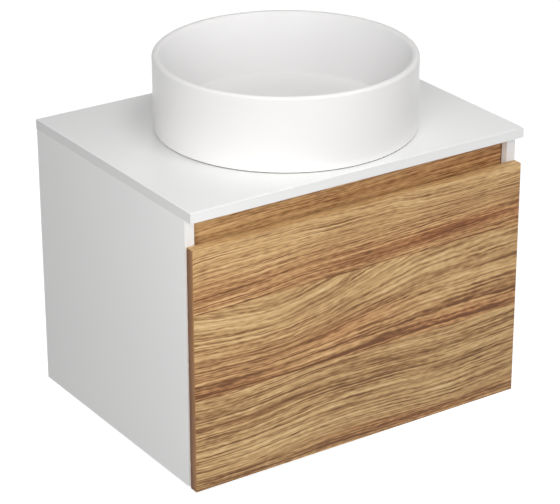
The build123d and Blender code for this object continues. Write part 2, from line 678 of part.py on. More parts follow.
with BuildPart() as waste_washer:
    ring(WASTE_THREAD_RADIUS + TUBE_CLEARANCE, WASHER_RADIUS, CARCASS_HEIGHT - WASHER, CARCASS_HEIGHT)
waste_washer.part.label = "waste_washer"
export_step(waste_washer.part, "parts/waste_washer.step")

with BuildPart() as waste_backnut:
    backnut_low = CARCASS_HEIGHT - WASHER - BACKNUT
    with BuildSketch(Plane.XY.offset(backnut_low)):
        with Locations((BASIN_OFFSET, BASIN_Y)):
            RegularPolygon(BACKNUT_FLATS / 2, 6, major_radius=False)
    extrude(amount=BACKNUT)
    chamfer(waste_backnut.faces().sort_by(Axis.Z)[0].edges(), BACKNUT_CHAMFER)
    ring(0, WASTE_THREAD_RADIUS + THREAD_CLEARANCE, backnut_low, CARCASS_HEIGHT - WASHER, Mode.SUBTRACT)
waste_backnut.part.label = "waste_backnut"
export_step(waste_backnut.part, "parts/waste_backnut.step")

plug_low = flange_top + PLUG_SEAL_GAP + PLUG_SEAL
spring_floor = hub_low - PLUG_LIFT - CARTRIDGE_WALL - SPRING_ROOM
stem_low = spring_floor + PLUG_LIFT + SPRING_END_GAP
with BuildPart() as plug:
    cap_edge = plug_low + PLUG_EDGE
    crown = plug_low + PLUG_CROWN
    with BuildSketch(WASTE_PLANE):
        with BuildLine():
            Polyline((0, crown), (0, plug_low), (PLUG_RADIUS, plug_low), (PLUG_RADIUS, cap_edge))
            TangentArc((0, crown), (PLUG_RADIUS, cap_edge), tangent=(1, 0))
        make_face()
    revolve(axis=WASTE_AXIS)
    fillet(round_edges(plug, PLUG_RADIUS)[-1], PLUG_ROUNDING)
    ring(0, PLUG_STEM_RADIUS, stem_low, plug_low)
plug.part.label = "plug"
export_step(plug.part, "parts/plug.step")

with BuildPart() as plug_seal:
    ring(*PLUG_SEAL_RADII, plug_low - PLUG_SEAL, plug_low)
plug_seal.part.label = "plug_seal"
export_step(plug_seal.part, "parts/plug_seal.step")

with BuildPart() as plug_cartridge:
    cartridge_low = spring_floor - CARTRIDGE_WALL
    cartridge_top = hub_high + CARTRIDGE_WALL
    turn(
        (0, cartridge_low),
        (CARTRIDGE_RADIUS, cartridge_low),
        (CARTRIDGE_RADIUS, hub_high),
        (CARTRIDGE_COLLAR_RADIUS, hub_high),
        (CARTRIDGE_COLLAR_RADIUS, cartridge_top),
        (PLUG_STEM_RADIUS + STEM_CLEARANCE, cartridge_top),
        (PLUG_STEM_RADIUS + STEM_CLEARANCE, spring_floor),
        (0, spring_floor),
    )
plug_cartridge.part.label = "plug_cartridge"
export_step(plug_cartridge.part, "parts/plug_cartridge.step")

with BuildPart() as plug_spring:
    coil_rise = PLUG_LIFT - 2 * (SPRING_WIRE_RADIUS + SPRING_END_GAP)
    coil_start = spring_floor + SPRING_WIRE_RADIUS + SPRING_END_GAP
    with BuildLine(Plane((BASIN_OFFSET, BASIN_Y, coil_start))) as coil:
        Helix(pitch=coil_rise / SPRING_TURNS, height=coil_rise, radius=SPRING_COIL_RADIUS)
    with BuildSketch(Plane(origin=coil.line @ 0, z_dir=coil.line % 0)):
        Circle(SPRING_WIRE_RADIUS)
    sweep(path=coil.line)
plug_spring.part.label = "plug_spring"
export_step(plug_spring.part, "parts/plug_spring.step")

# ---------------------------------------------------------------- trap
collar_radius = WASTE_THREAD_RADIUS - TUBE_CLEARANCE
collar_top = waste_low - UNION_SEAL
collar_low = collar_top - COLLAR
dip_low = cup_low + DIP_CLEARANCE
neck_top = trap_top + NECK_HEIGHT

with BuildPart() as trap_union_nut:
    union_low = collar_low - NUT_LIP
    union_top = waste_low + UNION_GRIP
    ring(0, union_radius, union_low, union_top)
    ribs(spot(BASIN_OFFSET, BASIN_Y, union_low, UPWARDS), union_radius, union_top - union_low)
    ring(0, WASTE_THREAD_RADIUS + THREAD_CLEARANCE, collar_low, union_top, Mode.SUBTRACT)
    ring(0, neck_bore, union_low, collar_low, Mode.SUBTRACT)
trap_union_nut.part.label = "trap_union_nut"
export_step(trap_union_nut.part, "parts/trap_union_nut.step")

with BuildPart() as trap_union_seal:
    ring(tube_bore, collar_radius, collar_top, waste_low)
trap_union_seal.part.label = "trap_union_seal"
export_step(trap_union_seal.part, "parts/trap_union_seal.step")

with BuildPart() as trap_inlet_tube:
    turn(
        (tube_bore, dip_low),
        (TUBE_RADIUS, dip_low),
        (TUBE_RADIUS, collar_low),
        (collar_radius, collar_low),
        (collar_radius, collar_top),
        (tube_bore, collar_top),
    )
trap_inlet_tube.part.label = "trap_inlet_tube"
export_step(trap_inlet_tube.part, "parts/trap_inlet_tube.step")

branch_end = BASIN_Y + TRAP_RADIUS + BRANCH_LENGTH
skirt_radius = TRAP_RADIUS - SKIRT_STEP
skirt_low = trap_shoulder - SKIRT_HEIGHT
with BuildPart() as trap_body:
    ring(0, TRAP_RADIUS, trap_shoulder, trap_top)
    fillet(trap_body.faces().sort_by(Axis.Z)[-1].edges(), TRAP_ROUNDING)
    ring(0, neck_radius, trap_top - TRAP_ROOF, neck_top)
    ring(0, skirt_radius, skirt_low, trap_shoulder)
    branch = spot(BASIN_OFFSET, BASIN_Y, outlet_z, BACKWARDS)
    rods([branch], neck_radius, branch_end - BASIN_Y)
    ring(0, TRAP_RADIUS - TRAP_WALL, trap_shoulder, trap_top - TRAP_ROOF, Mode.SUBTRACT)
    ring(0, skirt_radius - TRAP_WALL, skirt_low, trap_shoulder, Mode.SUBTRACT)
    ring(0, neck_bore, trap_shoulder, neck_top, Mode.SUBTRACT)
    rods([branch], neck_bore, branch_end - BASIN_Y, Mode.SUBTRACT)
trap_body.part.label = "trap_body"
export_step(trap_body.part, "parts/trap_body.step")

with BuildPart() as trap_cup:
    cup_radius = TRAP_RADIUS + CUP_OVER
    cup_top = trap_shoulder - CUP_SEAL
    cup_bore = skirt_radius - CUP_OVER
    ring(0, cup_radius, cup_low, cup_top)
    fillet(trap_cup.faces().sort_by(Axis.Z)[0].edges(), CUP_ROUNDING)
    ring(0, cup_bore, cup_low + CUP_ROUNDING, skirt_low, Mode.SUBTRACT)
    turn(
        (0, cup_low + TRAP_WALL),
        (cup_bore - CUP_ROUNDING + TRAP_WALL, cup_low + TRAP_WALL),
        (cup_bore, cup_low + CUP_ROUNDING),
        (0, cup_low + CUP_ROUNDING),
        mode=Mode.SUBTRACT,
    )
    ribs(spot(BASIN_OFFSET, BASIN_Y, cup_top - CUP_GRIP, UPWARDS), cup_radius, CUP_GRIP)
    ring(0, skirt_radius + THREAD_CLEARANCE, skirt_low, cup_top, Mode.SUBTRACT)
trap_cup.part.label = "trap_cup"
export_step(trap_cup.part, "parts/trap_cup.step")

with BuildPart() as trap_cup_seal:
    ring(skirt_radius + THREAD_CLEARANCE, TRAP_RADIUS, cup_top, trap_shoulder)
trap_cup_seal.part.label = "trap_cup_seal"
export_step(trap_cup_seal.part, "parts/trap_cup_seal.step")

# The two compression nuts and their cone seals are alike: one on the trap's inlet, one on its outlet.
INLET_NECK = spot(BASIN_OFFSET, BASIN_Y, neck_top, UPWARDS)
OUTLET_NECK = spot(BASIN_OFFSET, branch_end, outlet_z, BACKWARDS)
nut_back = NUT_HEIGHT - CONE_SEAL - NUT_LIP
with BuildPart() as trap_nuts:
    for neck in (INLET_NECK, OUTLET_NECK):
        rods([neck.offset(-nut_back)], nut_radius, NUT_HEIGHT)
        ribs(neck.offset(-nut_back), nut_radius, NUT_HEIGHT)
        rods([neck.offset(-nut_back)], neck_radius + THREAD_CLEARANCE, NUT_HEIGHT - NUT_LIP, Mode.SUBTRACT)
        rods([neck.offset(CONE_SEAL)], neck_bore, NUT_LIP, Mode.SUBTRACT)
trap_nuts.part.label = "trap_nuts"
export_step(trap_nuts.part, "parts/trap_nuts.step")

with BuildPart() as trap_cone_seals:
    for neck in (INLET_NECK, OUTLET_NECK):
        rods([neck], neck_radius - TUBE_CLEARANCE, CONE_SEAL)
        rods([neck], TUBE_RADIUS + THREAD_CLEARANCE, CONE_SEAL, Mode.SUBTRACT)
trap_cone_seals.part.label = "trap_cone_seals"
export_step(trap_cone_seals.part, "parts/trap_cone_seals.step")

with BuildPart() as trap_outlet_tube:
    tube_start = spot(BASIN_OFFSET, branch_end - OUTLET_INSERT, outlet_z, BACKWARDS)
    tube_length = OUTLET_INSERT - branch_end
    mark = OUTLET_NECK.offset(CONE_SEAL + NUT_LIP + MARK_GAP)
    rods([tube_start], TUBE_RADIUS, tube_length)
    rods([mark], TUBE_RADIUS, MARK_WIDTH, Mode.SUBTRACT)
    rods([mark], TUBE_RADIUS - MARK_DEPTH, MARK_WIDTH)
    rods([tube_start], tube_bore, tube_length, Mode.SUBTRACT)
trap_outlet_tube.part.label = "trap_outlet_tube"
export_step(trap_outlet_tube.part, "parts/trap_outlet_tube.step")

# ---------------------------------------------------------------- drawer
with BuildPart() as drawer_front:
    block((-front_half, front_half), (front_face, front_back), (-FRONT_DROP, front_top))
    fillet(drawer_front.faces().sort_by(Axis.Y)[0].edges(), FRONT_ARRIS)
    pilots(front_spots, FRONT_SCREW)
drawer_front.part.label = "drawer_front"
export_step(drawer_front.part, "parts/drawer_front.step")

with BuildPart() as front_bumpers:
    bumper_x = carcass_half - BOARD / 2
    bumper_z = (BOARD, front_top - BOARD)
    corners = [spot(sign * bumper_x, front_back, z, BACKWARDS) for _, sign in SIDES for z in bumper_z]
    rods(corners, BUMPER_RADIUS, FRONT_GAP - BUMPER_CLEARANCE)
front_bumpers.part.label = "front_bumpers"
export_step(front_bumpers.part, "parts/front_bumpers.step")

with BuildPart() as drawer_inner_front:
    block((-box_inside, box_inside), (front_back, front_back + BOARD), (box_low, box_top))
    groove_y = (front_back + BOARD - groove_depth, front_back + BOARD)
    groove_z = (floor_low - GROOVE_CLEARANCE, floor_top + GROOVE_CLEARANCE)
    block((-box_inside, box_inside), groove_y, groove_z, Mode.SUBTRACT)
    pilots(front_spots, BOARD)
    pilots(box_side_spots["left"] + box_side_spots["right"], LONG_SCREW)
drawer_inner_front.part.label = "drawer_inner_front"
export_step(drawer_inner_front.part, "parts/drawer_inner_front.step")

for side, sign in SIDES:
    with BuildPart() as drawer_side:
        block((sign * box_inside, sign * box_half), (front_back, box_back), (box_low, box_top))
        groove_x = (sign * box_inside, sign * (box_inside + groove_depth))
        groove_y = (front_back + BOARD - groove_depth, box_back)
        block(groove_x, groove_y, groove_z, Mode.SUBTRACT)
        pilots(box_side_spots[side], LONG_SCREW)
        pilots(box_runner_spots[side], SHORT_SCREW)
    drawer_side.part.label = f"drawer_side_{side}"
    export_step(drawer_side.part, f"parts/drawer_side_{side}.step")

with BuildPart() as drawer_bottom:
    floor_half = box_inside + groove_depth - GROOVE_CLEARANCE
    floor_front = front_back + BOARD - groove_depth + GROOVE_CLEARANCE
    block((-floor_half, floor_half), (floor_front, box_back), (floor_low, floor_top))
    block((recess_left, recess_right), (recess_front, box_back), (floor_low, floor_top), Mode.SUBTRACT)
drawer_bottom.part.label = "drawer_bottom"
export_step(drawer_bottom.part, "parts/drawer_bottom.step")

for side, sign in SIDES:
    inner = recess_side[side]
    outer = inner + sign * RECESS_WALL
    with BuildPart() as recess_wall:
        block((inner, outer), (recess_front - RECESS_WALL, box_back), (floor_top, box_top))
        pilots(recess_back_spots[side], LONG_SCREW)
        pilots(recess_front_spots[side], LONG_SCREW)
    recess_wall.part.label = f"recess_wall_{side}"
    export_step(recess_wall.part, f"parts/recess_wall_{side}.step")

    with BuildPart() as drawer_back:
        block((outer, sign * box_inside), (box_back - BOARD, box_back), (floor_top, box_top))
        pilots(box_side_spots[side], LONG_SCREW)
        pilots(recess_back_spots[side], LONG_SCREW)
    drawer_back.part.label = f"drawer_back_{side}"
    export_step(drawer_back.part, f"parts/drawer_back_{side}.step")

with BuildPart() as recess_wall_front:
    block((recess_left, recess_right), (recess_front - RECESS_WALL, recess_front), (floor_top, box_top))
    pilots(recess_front_spots["left"] + recess_front_spots["right"], LONG_SCREW)
recess_wall_front.part.label = "recess_wall_front"
export_step(recess_wall_front.part, "parts/recess_wall_front.step")

with BuildPart() as drawer_screws:
    for side, _ in SIDES:
        screws(box_side_spots[side] + recess_back_spots[side] + recess_front_spots[side], LONG_SCREW)
        screws(box_runner_spots[side], SHORT_SCREW)
    screws(front_spots, FRONT_SCREW)
drawer_screws.part.label = "drawer_screws"
export_step(drawer_screws.part, "parts/drawer_screws.step")

# ---------------------------------------------------------------- runners
# Three nested channels on each side, with a cage of balls between each two. Depth is measured from the
# cabinet side towards the drawer, half heights from the runner's middle.
outer_half = RUNNER_HEIGHT / 2
race = 2 * (BALL_RADIUS + BALL_CLEARANCE)
middle_half = outer_half - RUNNER_STEEL - race
inner_half = middle_half - RUNNER_STEEL - race
outer_flange = MIDDLE_WEB + FLANGE_REACH
inner_web = RUNNER_DEPTH - RUNNER_STEEL
outer_row = MIDDLE_WEB + FLANGE_REACH / 2
outer_cage_web = MIDDLE_WEB - CAGE_GAP - CAGE_SHEET
inner_cage_web = MIDDLE_WEB + RUNNER_STEEL + CAGE_GAP / 2
inner_row = (inner_cage_web + CAGE_SHEET + inner_web) / 2
cage_length = runner_length / 2 - CAGE_END
cage_front = runner_front + (runner_length - cage_length) / 2
first_ball = cage_front + (cage_length - (BALLS_IN_ROW - 1) * BALL_PITCH) / 2


def channel(sign, web, flange, half):
    """A runner member: an upright web and two flanges, all along the runner."""
    length = (runner_front, runner_back)
    heights = (runner_z - half, runner_z + half)
    ends = sorted((web, web + (RUNNER_STEEL if flange > web else -RUNNER_STEEL)))
    reach = sorted((web, flange))
    block([sign * (inside_half - depth) for depth in ends], length, heights)
    for edge, inwards in ((runner_z - half, 1), (runner_z + half, -1)):
        thickness = (edge, edge + inwards * RUNNER_STEEL)
        block([sign * (inside_half - depth) for depth in reach], length, thickness)


def ball_cage(sign, web, row, half):
    """A folded strip that holds a row of balls above and one below, each in its own hole."""
    length = (cage_front, cage_front + cage_length)
    reach = row + BALL_RADIUS + BALL_HOLE_CLEARANCE + CAGE_EDGE
    strip = half + CAGE_SHEET / 2
    block(
        [sign * (inside_half - depth) for depth in (web, web + CAGE_SHEET)],
        length,
        (runner_z - strip, runner_z + strip),
    )
    for level in (runner_z - half, runner_z + half):
        low = level - CAGE_SHEET / 2
        block([sign * (inside_half - depth) for depth in (web, reach)], length, (low, low + CAGE_SHEET))
        holes = [
            spot(sign * (inside_half - row), first_ball + BALL_PITCH * number, low, UPWARDS)
            for number in range(BALLS_IN_ROW)
        ]
        rods(holes, BALL_RADIUS + BALL_HOLE_CLEARANCE, CAGE_SHEET, Mode.SUBTRACT)
        with Locations(*[place.offset(CAGE_SHEET / 2).origin for place in holes]):
            Sphere(BALL_RADIUS)


for side, sign in SIDES:
    with BuildPart() as runner_cabinet:
        channel(sign, 0.0, outer_flange, outer_half)
        pilots(side_runner_spots[side], RUNNER_STEEL)
    runner_cabinet.part.label = f"runner_cabinet_{side}"
    export_step(runner_cabinet.part, f"parts/runner_cabinet_{side}.step")

    with BuildPart() as runner_middle:
        channel(sign, MIDDLE_WEB, outer_flange, middle_half)
    runner_middle.part.label = f"runner_middle_{side}"
    export_step(runner_middle.part, f"parts/runner_middle_{side}.step")

    with BuildPart() as runner_drawer:
        channel(sign, RUNNER_DEPTH, RUNNER_DEPTH - FLANGE_REACH, inner_half)
        pilots(box_runner_spots[side], RUNNER_STEEL)
    runner_drawer.part.label = f"runner_drawer_{side}"
    export_step(runner_drawer.part, f"parts/runner_drawer_{side}.step")

    with BuildPart() as outer_ball_cage:
        ball_cage(sign, outer_cage_web, outer_row, outer_half - RUNNER_STEEL - race / 2)
    outer_ball_cage.part.label = f"outer_ball_cage_{side}"
    export_step(outer_ball_cage.part, f"parts/outer_ball_cage_{side}.step")

    with BuildPart() as inner_ball_cage:
        ball_cage(sign, inner_cage_web, inner_row, middle_half - RUNNER_STEEL - race / 2)
    inner_ball_cage.part.label = f"inner_ball_cage_{side}"
    export_step(inner_ball_cage.part, f"parts/inner_ball_cage_{side}.step")
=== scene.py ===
"""Looks and stage for a wall-hung vanity with a vessel basin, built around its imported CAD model."""

from math import cos, radians, sin

import bpy
from bpy.props import FloatProperty, FloatVectorProperty, PointerProperty
from mathutils import Matrix, Vector


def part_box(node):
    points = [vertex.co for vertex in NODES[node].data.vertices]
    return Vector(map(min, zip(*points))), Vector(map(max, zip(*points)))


bl_info = {
    "name": "Vessel basin vanity",
    "version": (1, 0, 0),
    "blender": (4, 5, 0),
    "location": "3D View > Sidebar > Vanity",
    "description": "Finishes and a studio stage for a vanity with one drawer and a vessel basin",
    "category": "Object",
}

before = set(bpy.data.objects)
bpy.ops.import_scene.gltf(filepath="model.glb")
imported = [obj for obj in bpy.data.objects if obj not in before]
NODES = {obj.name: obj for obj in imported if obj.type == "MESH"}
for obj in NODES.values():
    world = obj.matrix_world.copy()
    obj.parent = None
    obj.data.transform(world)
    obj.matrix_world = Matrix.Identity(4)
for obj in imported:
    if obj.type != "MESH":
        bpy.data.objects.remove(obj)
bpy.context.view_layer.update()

MM = 0.001
FRONT_LOW, FRONT_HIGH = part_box("drawer_front")
RAIL_LOW, RAIL_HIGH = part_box("finger_rail")
BASIN_LOW, BASIN_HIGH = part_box("basin")
BASIN_MIDDLE = (BASIN_LOW + BASIN_HIGH) / 2
# The bowl's wall, its inner radius and the width over which the painted shade on its inner wall begins, in
# millimetres.
BASIN_WALL = 10.5
BASIN_INNER_RADIUS = (BASIN_HIGH.x - BASIN_LOW.x) / MM / 2 - BASIN_WALL
RIM_BLEND = 1.5


# ---------------------------------------------------------------- sizes and colours


def linear(red, green, blue):
    """The scene-linear colour of chart values from 0 to 255."""
    out = []
    for value in (red, green, blue):
        part = value / 255
        out.append(part / 12.92 if part <= 0.04045 else ((part + 0.055) / 1.055) ** 2.4)
    return tuple(out)


# Pure white for painted light: a painted highlight on the worktop's rounded edges, and lighter board faces
# that look front or back.
PAINTED_LIGHT_WHITE = linear(255, 255, 255)
SHADED_WHITE = linear(243, 243, 243)
# Painted shade: a greyer white for the worktop's side edge faces.
WORKTOP_SIDE_SHADE = linear(227, 227, 226)
GLAZE_CLOUD = linear(247, 246, 245)
WOOD_RED = linear(250, 208, 190)
BEECH_GRAIN = linear(186, 140, 98)
BUMPER_CLEAR = linear(226, 228, 230)
FLOOR_SPECKS = (linear(214, 214, 214), linear(219, 219, 219))


def shade(name, note, red, green, blue):
    """A colour that a user can change, written in the 0 to 255 values of a colour chart."""
    return FloatVectorProperty(
        name=name,
        description=note,
        subtype="COLOR",
        size=3,
        min=0.0,
        max=1.0,
        default=linear(red, green, blue),
    )


def length(name, note, default):
    """A length in metres that a user can change."""
    return FloatProperty(name=name, description=note, unit="LENGTH", min=0.0, default=default)


def angle(name, note, degrees):
    """An angle that a user can change."""
    return FloatProperty(name=name, description=note, subtype="ANGLE", default=radians(degrees))


def power(name, note, default):
    """The power of a lamp in watts."""
    return FloatProperty(name=name, description=note, unit="POWER", min=0.0, default=default)


def share(name, note, default, high=1.0):
    """A plain factor that a user can change."""
    return FloatProperty(name=name, description=note, subtype="FACTOR", min=0.0, max=high, default=default)


class VanityWoodSettings(bpy.types.PropertyGroup):
    """Colours and lines of the wood decor on the drawer front and the finger rail."""

    darkest: shade("Darkest streak", "Colour of the darkest streaks", 114, 75, 40)
    dark: shade("Dark line", "Colour of the late wood lines", 153, 112, 68)
    middle: shade("Middle", "Colour of the plain wood", 193, 153, 104)
    light: shade("Light", "Colour of the early wood", 219, 181, 126)
    lightest: shade("Lightest", "Colour of the palest wood", 238, 207, 154)
    # Partly the edge banding's own colour and partly painted shade: it darkens the side edges.
    edge: shade("Edge tint", "Colour that tints the side edges", 228, 212, 182)
    contrast: share("Line contrast", "How strongly the lines stand out", 0.9, 2.0)
    roughness: share("Roughness", "Roughness of the matt decor", 0.52)


class VanityWhiteSettings(bpy.types.PropertyGroup):
    """Colours of the white pieces."""

    lacquer: shade("Worktop lacquer", "Satin lacquer of the worktop", 248, 248, 247)
    board: shade("Board", "Melamine face of the cabinet boards", 251, 251, 250)
    ceramic: shade("Ceramic", "Glaze of the basin", 251, 250, 249)
    # Painted shade: the bowl's inner wall is glazed greyer to darken it.
    inner_wall_shade: shade("Inner wall", "Glaze of the bowl's inner wall", 246, 245, 245)
    plastic: shade("Plastic", "Moulded plastic of the trap and the hangers", 238, 238, 236)
    core: shade("Board core", "Raw particle board on cut edges", 190, 160, 120)


class VanityMetalSettings(bpy.types.PropertyGroup):
    """Colours of the metals, the rubber and the silicone."""

    chrome: shade("Chrome", "Plated waste and plug", 212, 214, 217)
    brass: shade("Brass", "Bare brass of the waste's hidden parts", 214, 178, 104)
    zinc: shade("Zinc", "Zinc-plated steel", 196, 199, 204)
    grease: shade("Grease", "Thin film in the ball races", 150, 138, 108)
    rubber: shade("Rubber", "Black rubber seals", 34, 34, 35)
    # Partly the bead's own grey and partly painted shade: darkened to stand in for the shadow at the
    # basin's foot.
    silicone: shade("Silicone", "Bead under the basin", 92, 92, 90)
    beech: shade("Beech", "Wooden dowels", 214, 172, 128)


class VanityStageSettings(bpy.types.PropertyGroup):
    """The camera, the lights and the floor."""

    lens: FloatProperty(name="Lens", description="Focal length", unit="CAMERA", min=1.0, default=151.64)
    distance: length("Distance", "From the camera to its aim point", 3.68805)
    azimuth: angle("Azimuth", "Camera turn from straight ahead, towards the left", 33.8688)
    elevation: angle("Elevation", "Camera height angle", 24.0549)
    roll: angle("Roll", "Camera roll", -0.0887)
    aim: FloatVectorProperty(name="Aim", description="Point that the camera looks at", size=3,
                             subtype="TRANSLATION", default=(-0.00899, -0.24161, 0.23789))
    key_power: power("Key power", "Power of the soft light at the front left", 11.9)
    fill_power: power("Fill power", "Power of the soft light at the front right", 4.6)
    top_power: power("Top power", "Power of the soft light overhead", 7.6)
    ambient: share("Ambient", "Strength of the even light from all round", 0.1, 4.0)
    ambient_left: share("From the left", "Extra light from the left", 0.17, 4.0)
    ambient_right: share("From the right", "Extra light from the right", 0.08, 4.0)
    ambient_top: share("From above", "Extra light from above", 0.26, 4.0)
    floor_drop: length("Floor drop", "How far the floor lies under the cabinet", 0.42)
    floor_glow: share("Floor glow", "Light that the floor under the cabinet gives by itself", 0.76)
    outer_glow: share("Outer glow", "Light that the floor further out gives by itself", 0.84)


SETTINGS = {
    "vanity_wood": VanityWoodSettings,
    "vanity_white": VanityWhiteSettings,
    "vanity_metal": VanityMetalSettings,
    "vanity_stage": VanityStageSettings,
}


# ---------------------------------------------------------------- a small kit for finishes


class Nodes:
    """A node tree, put together step by step."""

    def __init__(self, tree):
        self.tree = tree

    def add(self, kind, **settings):
        """A new node with these settings."""
        node = self.tree.nodes.new(kind)
        for key, value in settings.items():
            setattr(node, key, value)
        return node

    def put(self, socket, value):
        """Links or sets one input."""
        if isinstance(value, bpy.types.NodeSocket):
            self.tree.links.new(value, socket)
        elif value is not None:
            socket.default_value = value

    def math(self, kind, a, b=None, c=None):
        """One step of arithmetic."""
        node = self.add("ShaderNodeMath", operation=kind)
        for socket, value in zip(node.inputs, (a, b, c)):
            self.put(socket, value)
        return node.outputs[0]

    def plus(self, *values):
        """The sum of all values."""
        total = values[0]
        for value in values[1:]:
            total = self.math("ADD", total, value)
        return total

    def times(self, a, b):
        """a times b."""
        return self.math("MULTIPLY", a, b)

    def minus(self, a, b):
        """a less b."""
        return self.math("SUBTRACT", a, b)

    def fade(self, amount, a, b):
        """The number a, turning to b as the amount goes from 0 to 1."""
        return self.math("MULTIPLY_ADD", amount, self.minus(b, a), a)

    def vector(self, kind, a, b=None):
        """One step of vector arithmetic; SCALE takes a number as b."""
        node = self.add("ShaderNodeVectorMath", operation=kind)
        self.put(node.inputs[0], a)
        self.put(node.inputs["Scale"] if kind == "SCALE" else node.inputs[1], b)
        return node.outputs["Value"] if kind == "LENGTH" else node.outputs[0]

    def join(self, x, y, z=0.0):
        """A vector from three numbers."""
        node = self.add("ShaderNodeCombineXYZ")
        for socket, value in zip(node.inputs, (x, y, z)):
            self.put(socket, value)
        return node.outputs[0]

    def parts(self, vector):
        """The three numbers of a vector."""
        node = self.add("ShaderNodeSeparateXYZ")
        self.put(node.inputs[0], vector)
        return node.outputs[:]

    def span(self, value, low, high, start=0.0, end=1.0, smooth=False):
        """value from low..high to start..end, held at both ends."""
        node = self.add("ShaderNodeMapRange", interpolation_type="SMOOTHSTEP" if smooth else "LINEAR")
        for socket, given in zip(node.inputs, (value, low, high, start, end)):
            self.put(socket, given)
        return node.outputs[0]

    def noise(self, vector, detail):
        """Soft noise about nought, mostly between -1 and 1, with features one unit across."""
        node = self.add("ShaderNodeTexNoise")
        for name, value in (("Vector", vector), ("Scale", 1.0), ("Detail", detail)):
            self.put(node.inputs[name], value)
        return self.math("MULTIPLY_ADD", node.outputs[0], 4.0, -2.0)

    def cells(self, vector, out="Distance"):
        """A cell pattern with cells one unit across."""
        node = self.add("ShaderNodeTexVoronoi")
        self.put(node.inputs["Vector"], vector)
        self.put(node.inputs["Scale"], 1.0)
        return node.outputs[out]

    def ramp(self, value, stops):
        """A colour that follows value through (place, colour) stops."""
        node = self.add("ShaderNodeValToRGB")
        keys = node.color_ramp.elements
        while len(keys) < len(stops):
            keys.new(0.5)
        for key, (place, colour) in zip(keys, stops):
            key.position = place
            key.color = tuple(colour)[:3] + (1.0,)
        self.put(node.inputs[0], value)
        return node.outputs[0]

    def curve(self, value, points, low=0.0, high=1.0):
        """A smooth curve through (value, height) points, with heights between low and high."""
        node = self.add("ShaderNodeFloatCurve")
        first, last = points[0][0], points[-1][0]
        line = node.mapping.curves[0]
        scaled = [((x - first) / (last - first), (y - low) / (high - low)) for x, y in points]
        while len(line.points) < len(scaled):
            line.points.new(0.5, 0.5)
        for point, place in zip(line.points, scaled):
            point.location = place
        node.mapping.update()
        self.put(node.inputs["Value"], self.span(value, first, last))
        return self.math("MULTIPLY_ADD", node.outputs[0], high - low, low)

    def shader_of(self, kind, *inputs):
        """The shader that a node of this kind makes of its inputs."""
        node = self.add(kind)
        for socket, value in zip(node.inputs, inputs):
            self.put(socket, value)
        return node.outputs[0]

    def mix(self, amount, a, b, blend="MIX"):
        """Colour a, turning to b as the amount goes from 0 to 1."""
        node = self.add("ShaderNodeMix", data_type="RGBA", blend_type=blend)
        self.put(node.inputs[0], amount)
        for index, colour in ((6, a), (7, b)):
            if not isinstance(colour, bpy.types.NodeSocket):
                colour = tuple(colour)[:3] + (1.0,)
            self.put(node.inputs[index], colour)
        return node.outputs[2]

    def bump(self, height, strength, distance):
        """A bumped normal; height 1 stands distance millimetres proud."""
        node = self.add("ShaderNodeBump")
        self.put(node.inputs["Strength"], strength)
        self.put(node.inputs["Distance"], distance * MM)
        self.put(node.inputs["Height"], height)
        return node.outputs[0]


class Finish(Nodes):
    """One material. Places are in millimetres on the object."""

    def __init__(self, name):
        self.material = bpy.data.materials.new(name)
        self.material.use_nodes = True
        super().__init__(self.material.node_tree)
        self.shader = self.tree.nodes["Principled BSDF"]
        given = self.add("ShaderNodeTexCoord").outputs
        self.normal = given["Normal"]
        self.place = self.vector("SCALE", given["Object"], 1 / MM)
        self.x, self.y, self.z = self.parts(self.place)

    def set(self, **values):
        """Sets shader inputs; an underscore in a name stands for a space."""
        for name, value in values.items():
            if not isinstance(value, (float, int, bpy.types.NodeSocket)):
                value = tuple(value)[:3] + (1.0,)
            self.put(self.shader.inputs[name.replace("_", " ")], value)

    def scaled(self, x, y, z):
        """The place on the object, divided by a size in millimetres along each axis."""
        return self.vector("MULTIPLY", self.place, (1 / x, 1 / y, 1 / z))

    def specks(self, x, y, z, detail):
        """Noise on the object, with features of these sizes in millimetres."""
        return self.noise(self.scaled(x, y, z), detail)

    def cloud(self, size, detail=2):
        """Noise on the object, with features of one size in millimetres along every axis."""
        return self.specks(size, size, size, detail)

    def facing(self, axis):
        """1 where a face looks along that axis, either way, and nought elsewhere."""
        part = self.parts(self.normal)["xyz".index(axis)]
        return self.span(self.math("ABSOLUTE", part), 0.6, 0.8)

    def arris(self):
        """1 on rounded or chamfered edges and nought on flat faces square to an axis."""
        flat = 0.0
        for part in self.parts(self.normal):
            flat = self.math("MAXIMUM", self.math("ABSOLUTE", part), flat)
        return self.span(flat, 0.97, 0.86)


def dress(material, *names):
    """Puts a finish on every face of these nodes."""
    for name in names:
        for slot in NODES[name].material_slots:
            slot.material = material


# ---------------------------------------------------------------- wood


# Places along are millimetres from the front's left end, and heights are millimetres below its top.
PANEL_LENGTH = round((FRONT_HIGH.x - FRONT_LOW.x) / MM)
PANEL_HEIGHT = round((FRONT_HIGH.z - FRONT_LOW.z) / MM)
STAVE_EDGES = (102.0, 240.0, 374.0)
RING_PITCH = 5.2
# Where in the noise each pattern is cut from; each stave lies one step further on.
STAVE_SEED = 5.7
RAIL_SEED = 7.3
RAIL_WAVE_SEED = 3.1
EDGE_SEED = 9.1

# How light the wood is: height, tone from 0, darkest, to 1, palest.
WOOD_TONES = (
    (0, 0.64), (20, 0.6), (45, 0.57), (62, 0.5), (75, 0.46), (101.6, 0.46), (102.4, 0.6), (125, 0.62),
    (150, 0.6), (172, 0.55), (190, 0.51), (205, 0.45), (225, 0.4), (239.6, 0.38), (240.4, 0.51),
    (265, 0.475), (285, 0.46), (305, 0.51), (340, 0.54), (355, 0.57), (373.6, 0.56), (374.4, 0.39),
    (390, 0.4),
)
# How red the wood is: height, redness from 0 to 1.
WOOD_REDS = (
    (0, 0.05), (45, 0.2), (75, 0.6), (101.6, 0.5), (102.4, 0.0), (150, 0.1), (190, 0.3), (225, 0.5),
    (239.6, 0.55), (240.4, 0.05), (300, 0.0), (355, 0.0), (373.6, 0.1), (374.4, 0.0), (390, 0.0),
)
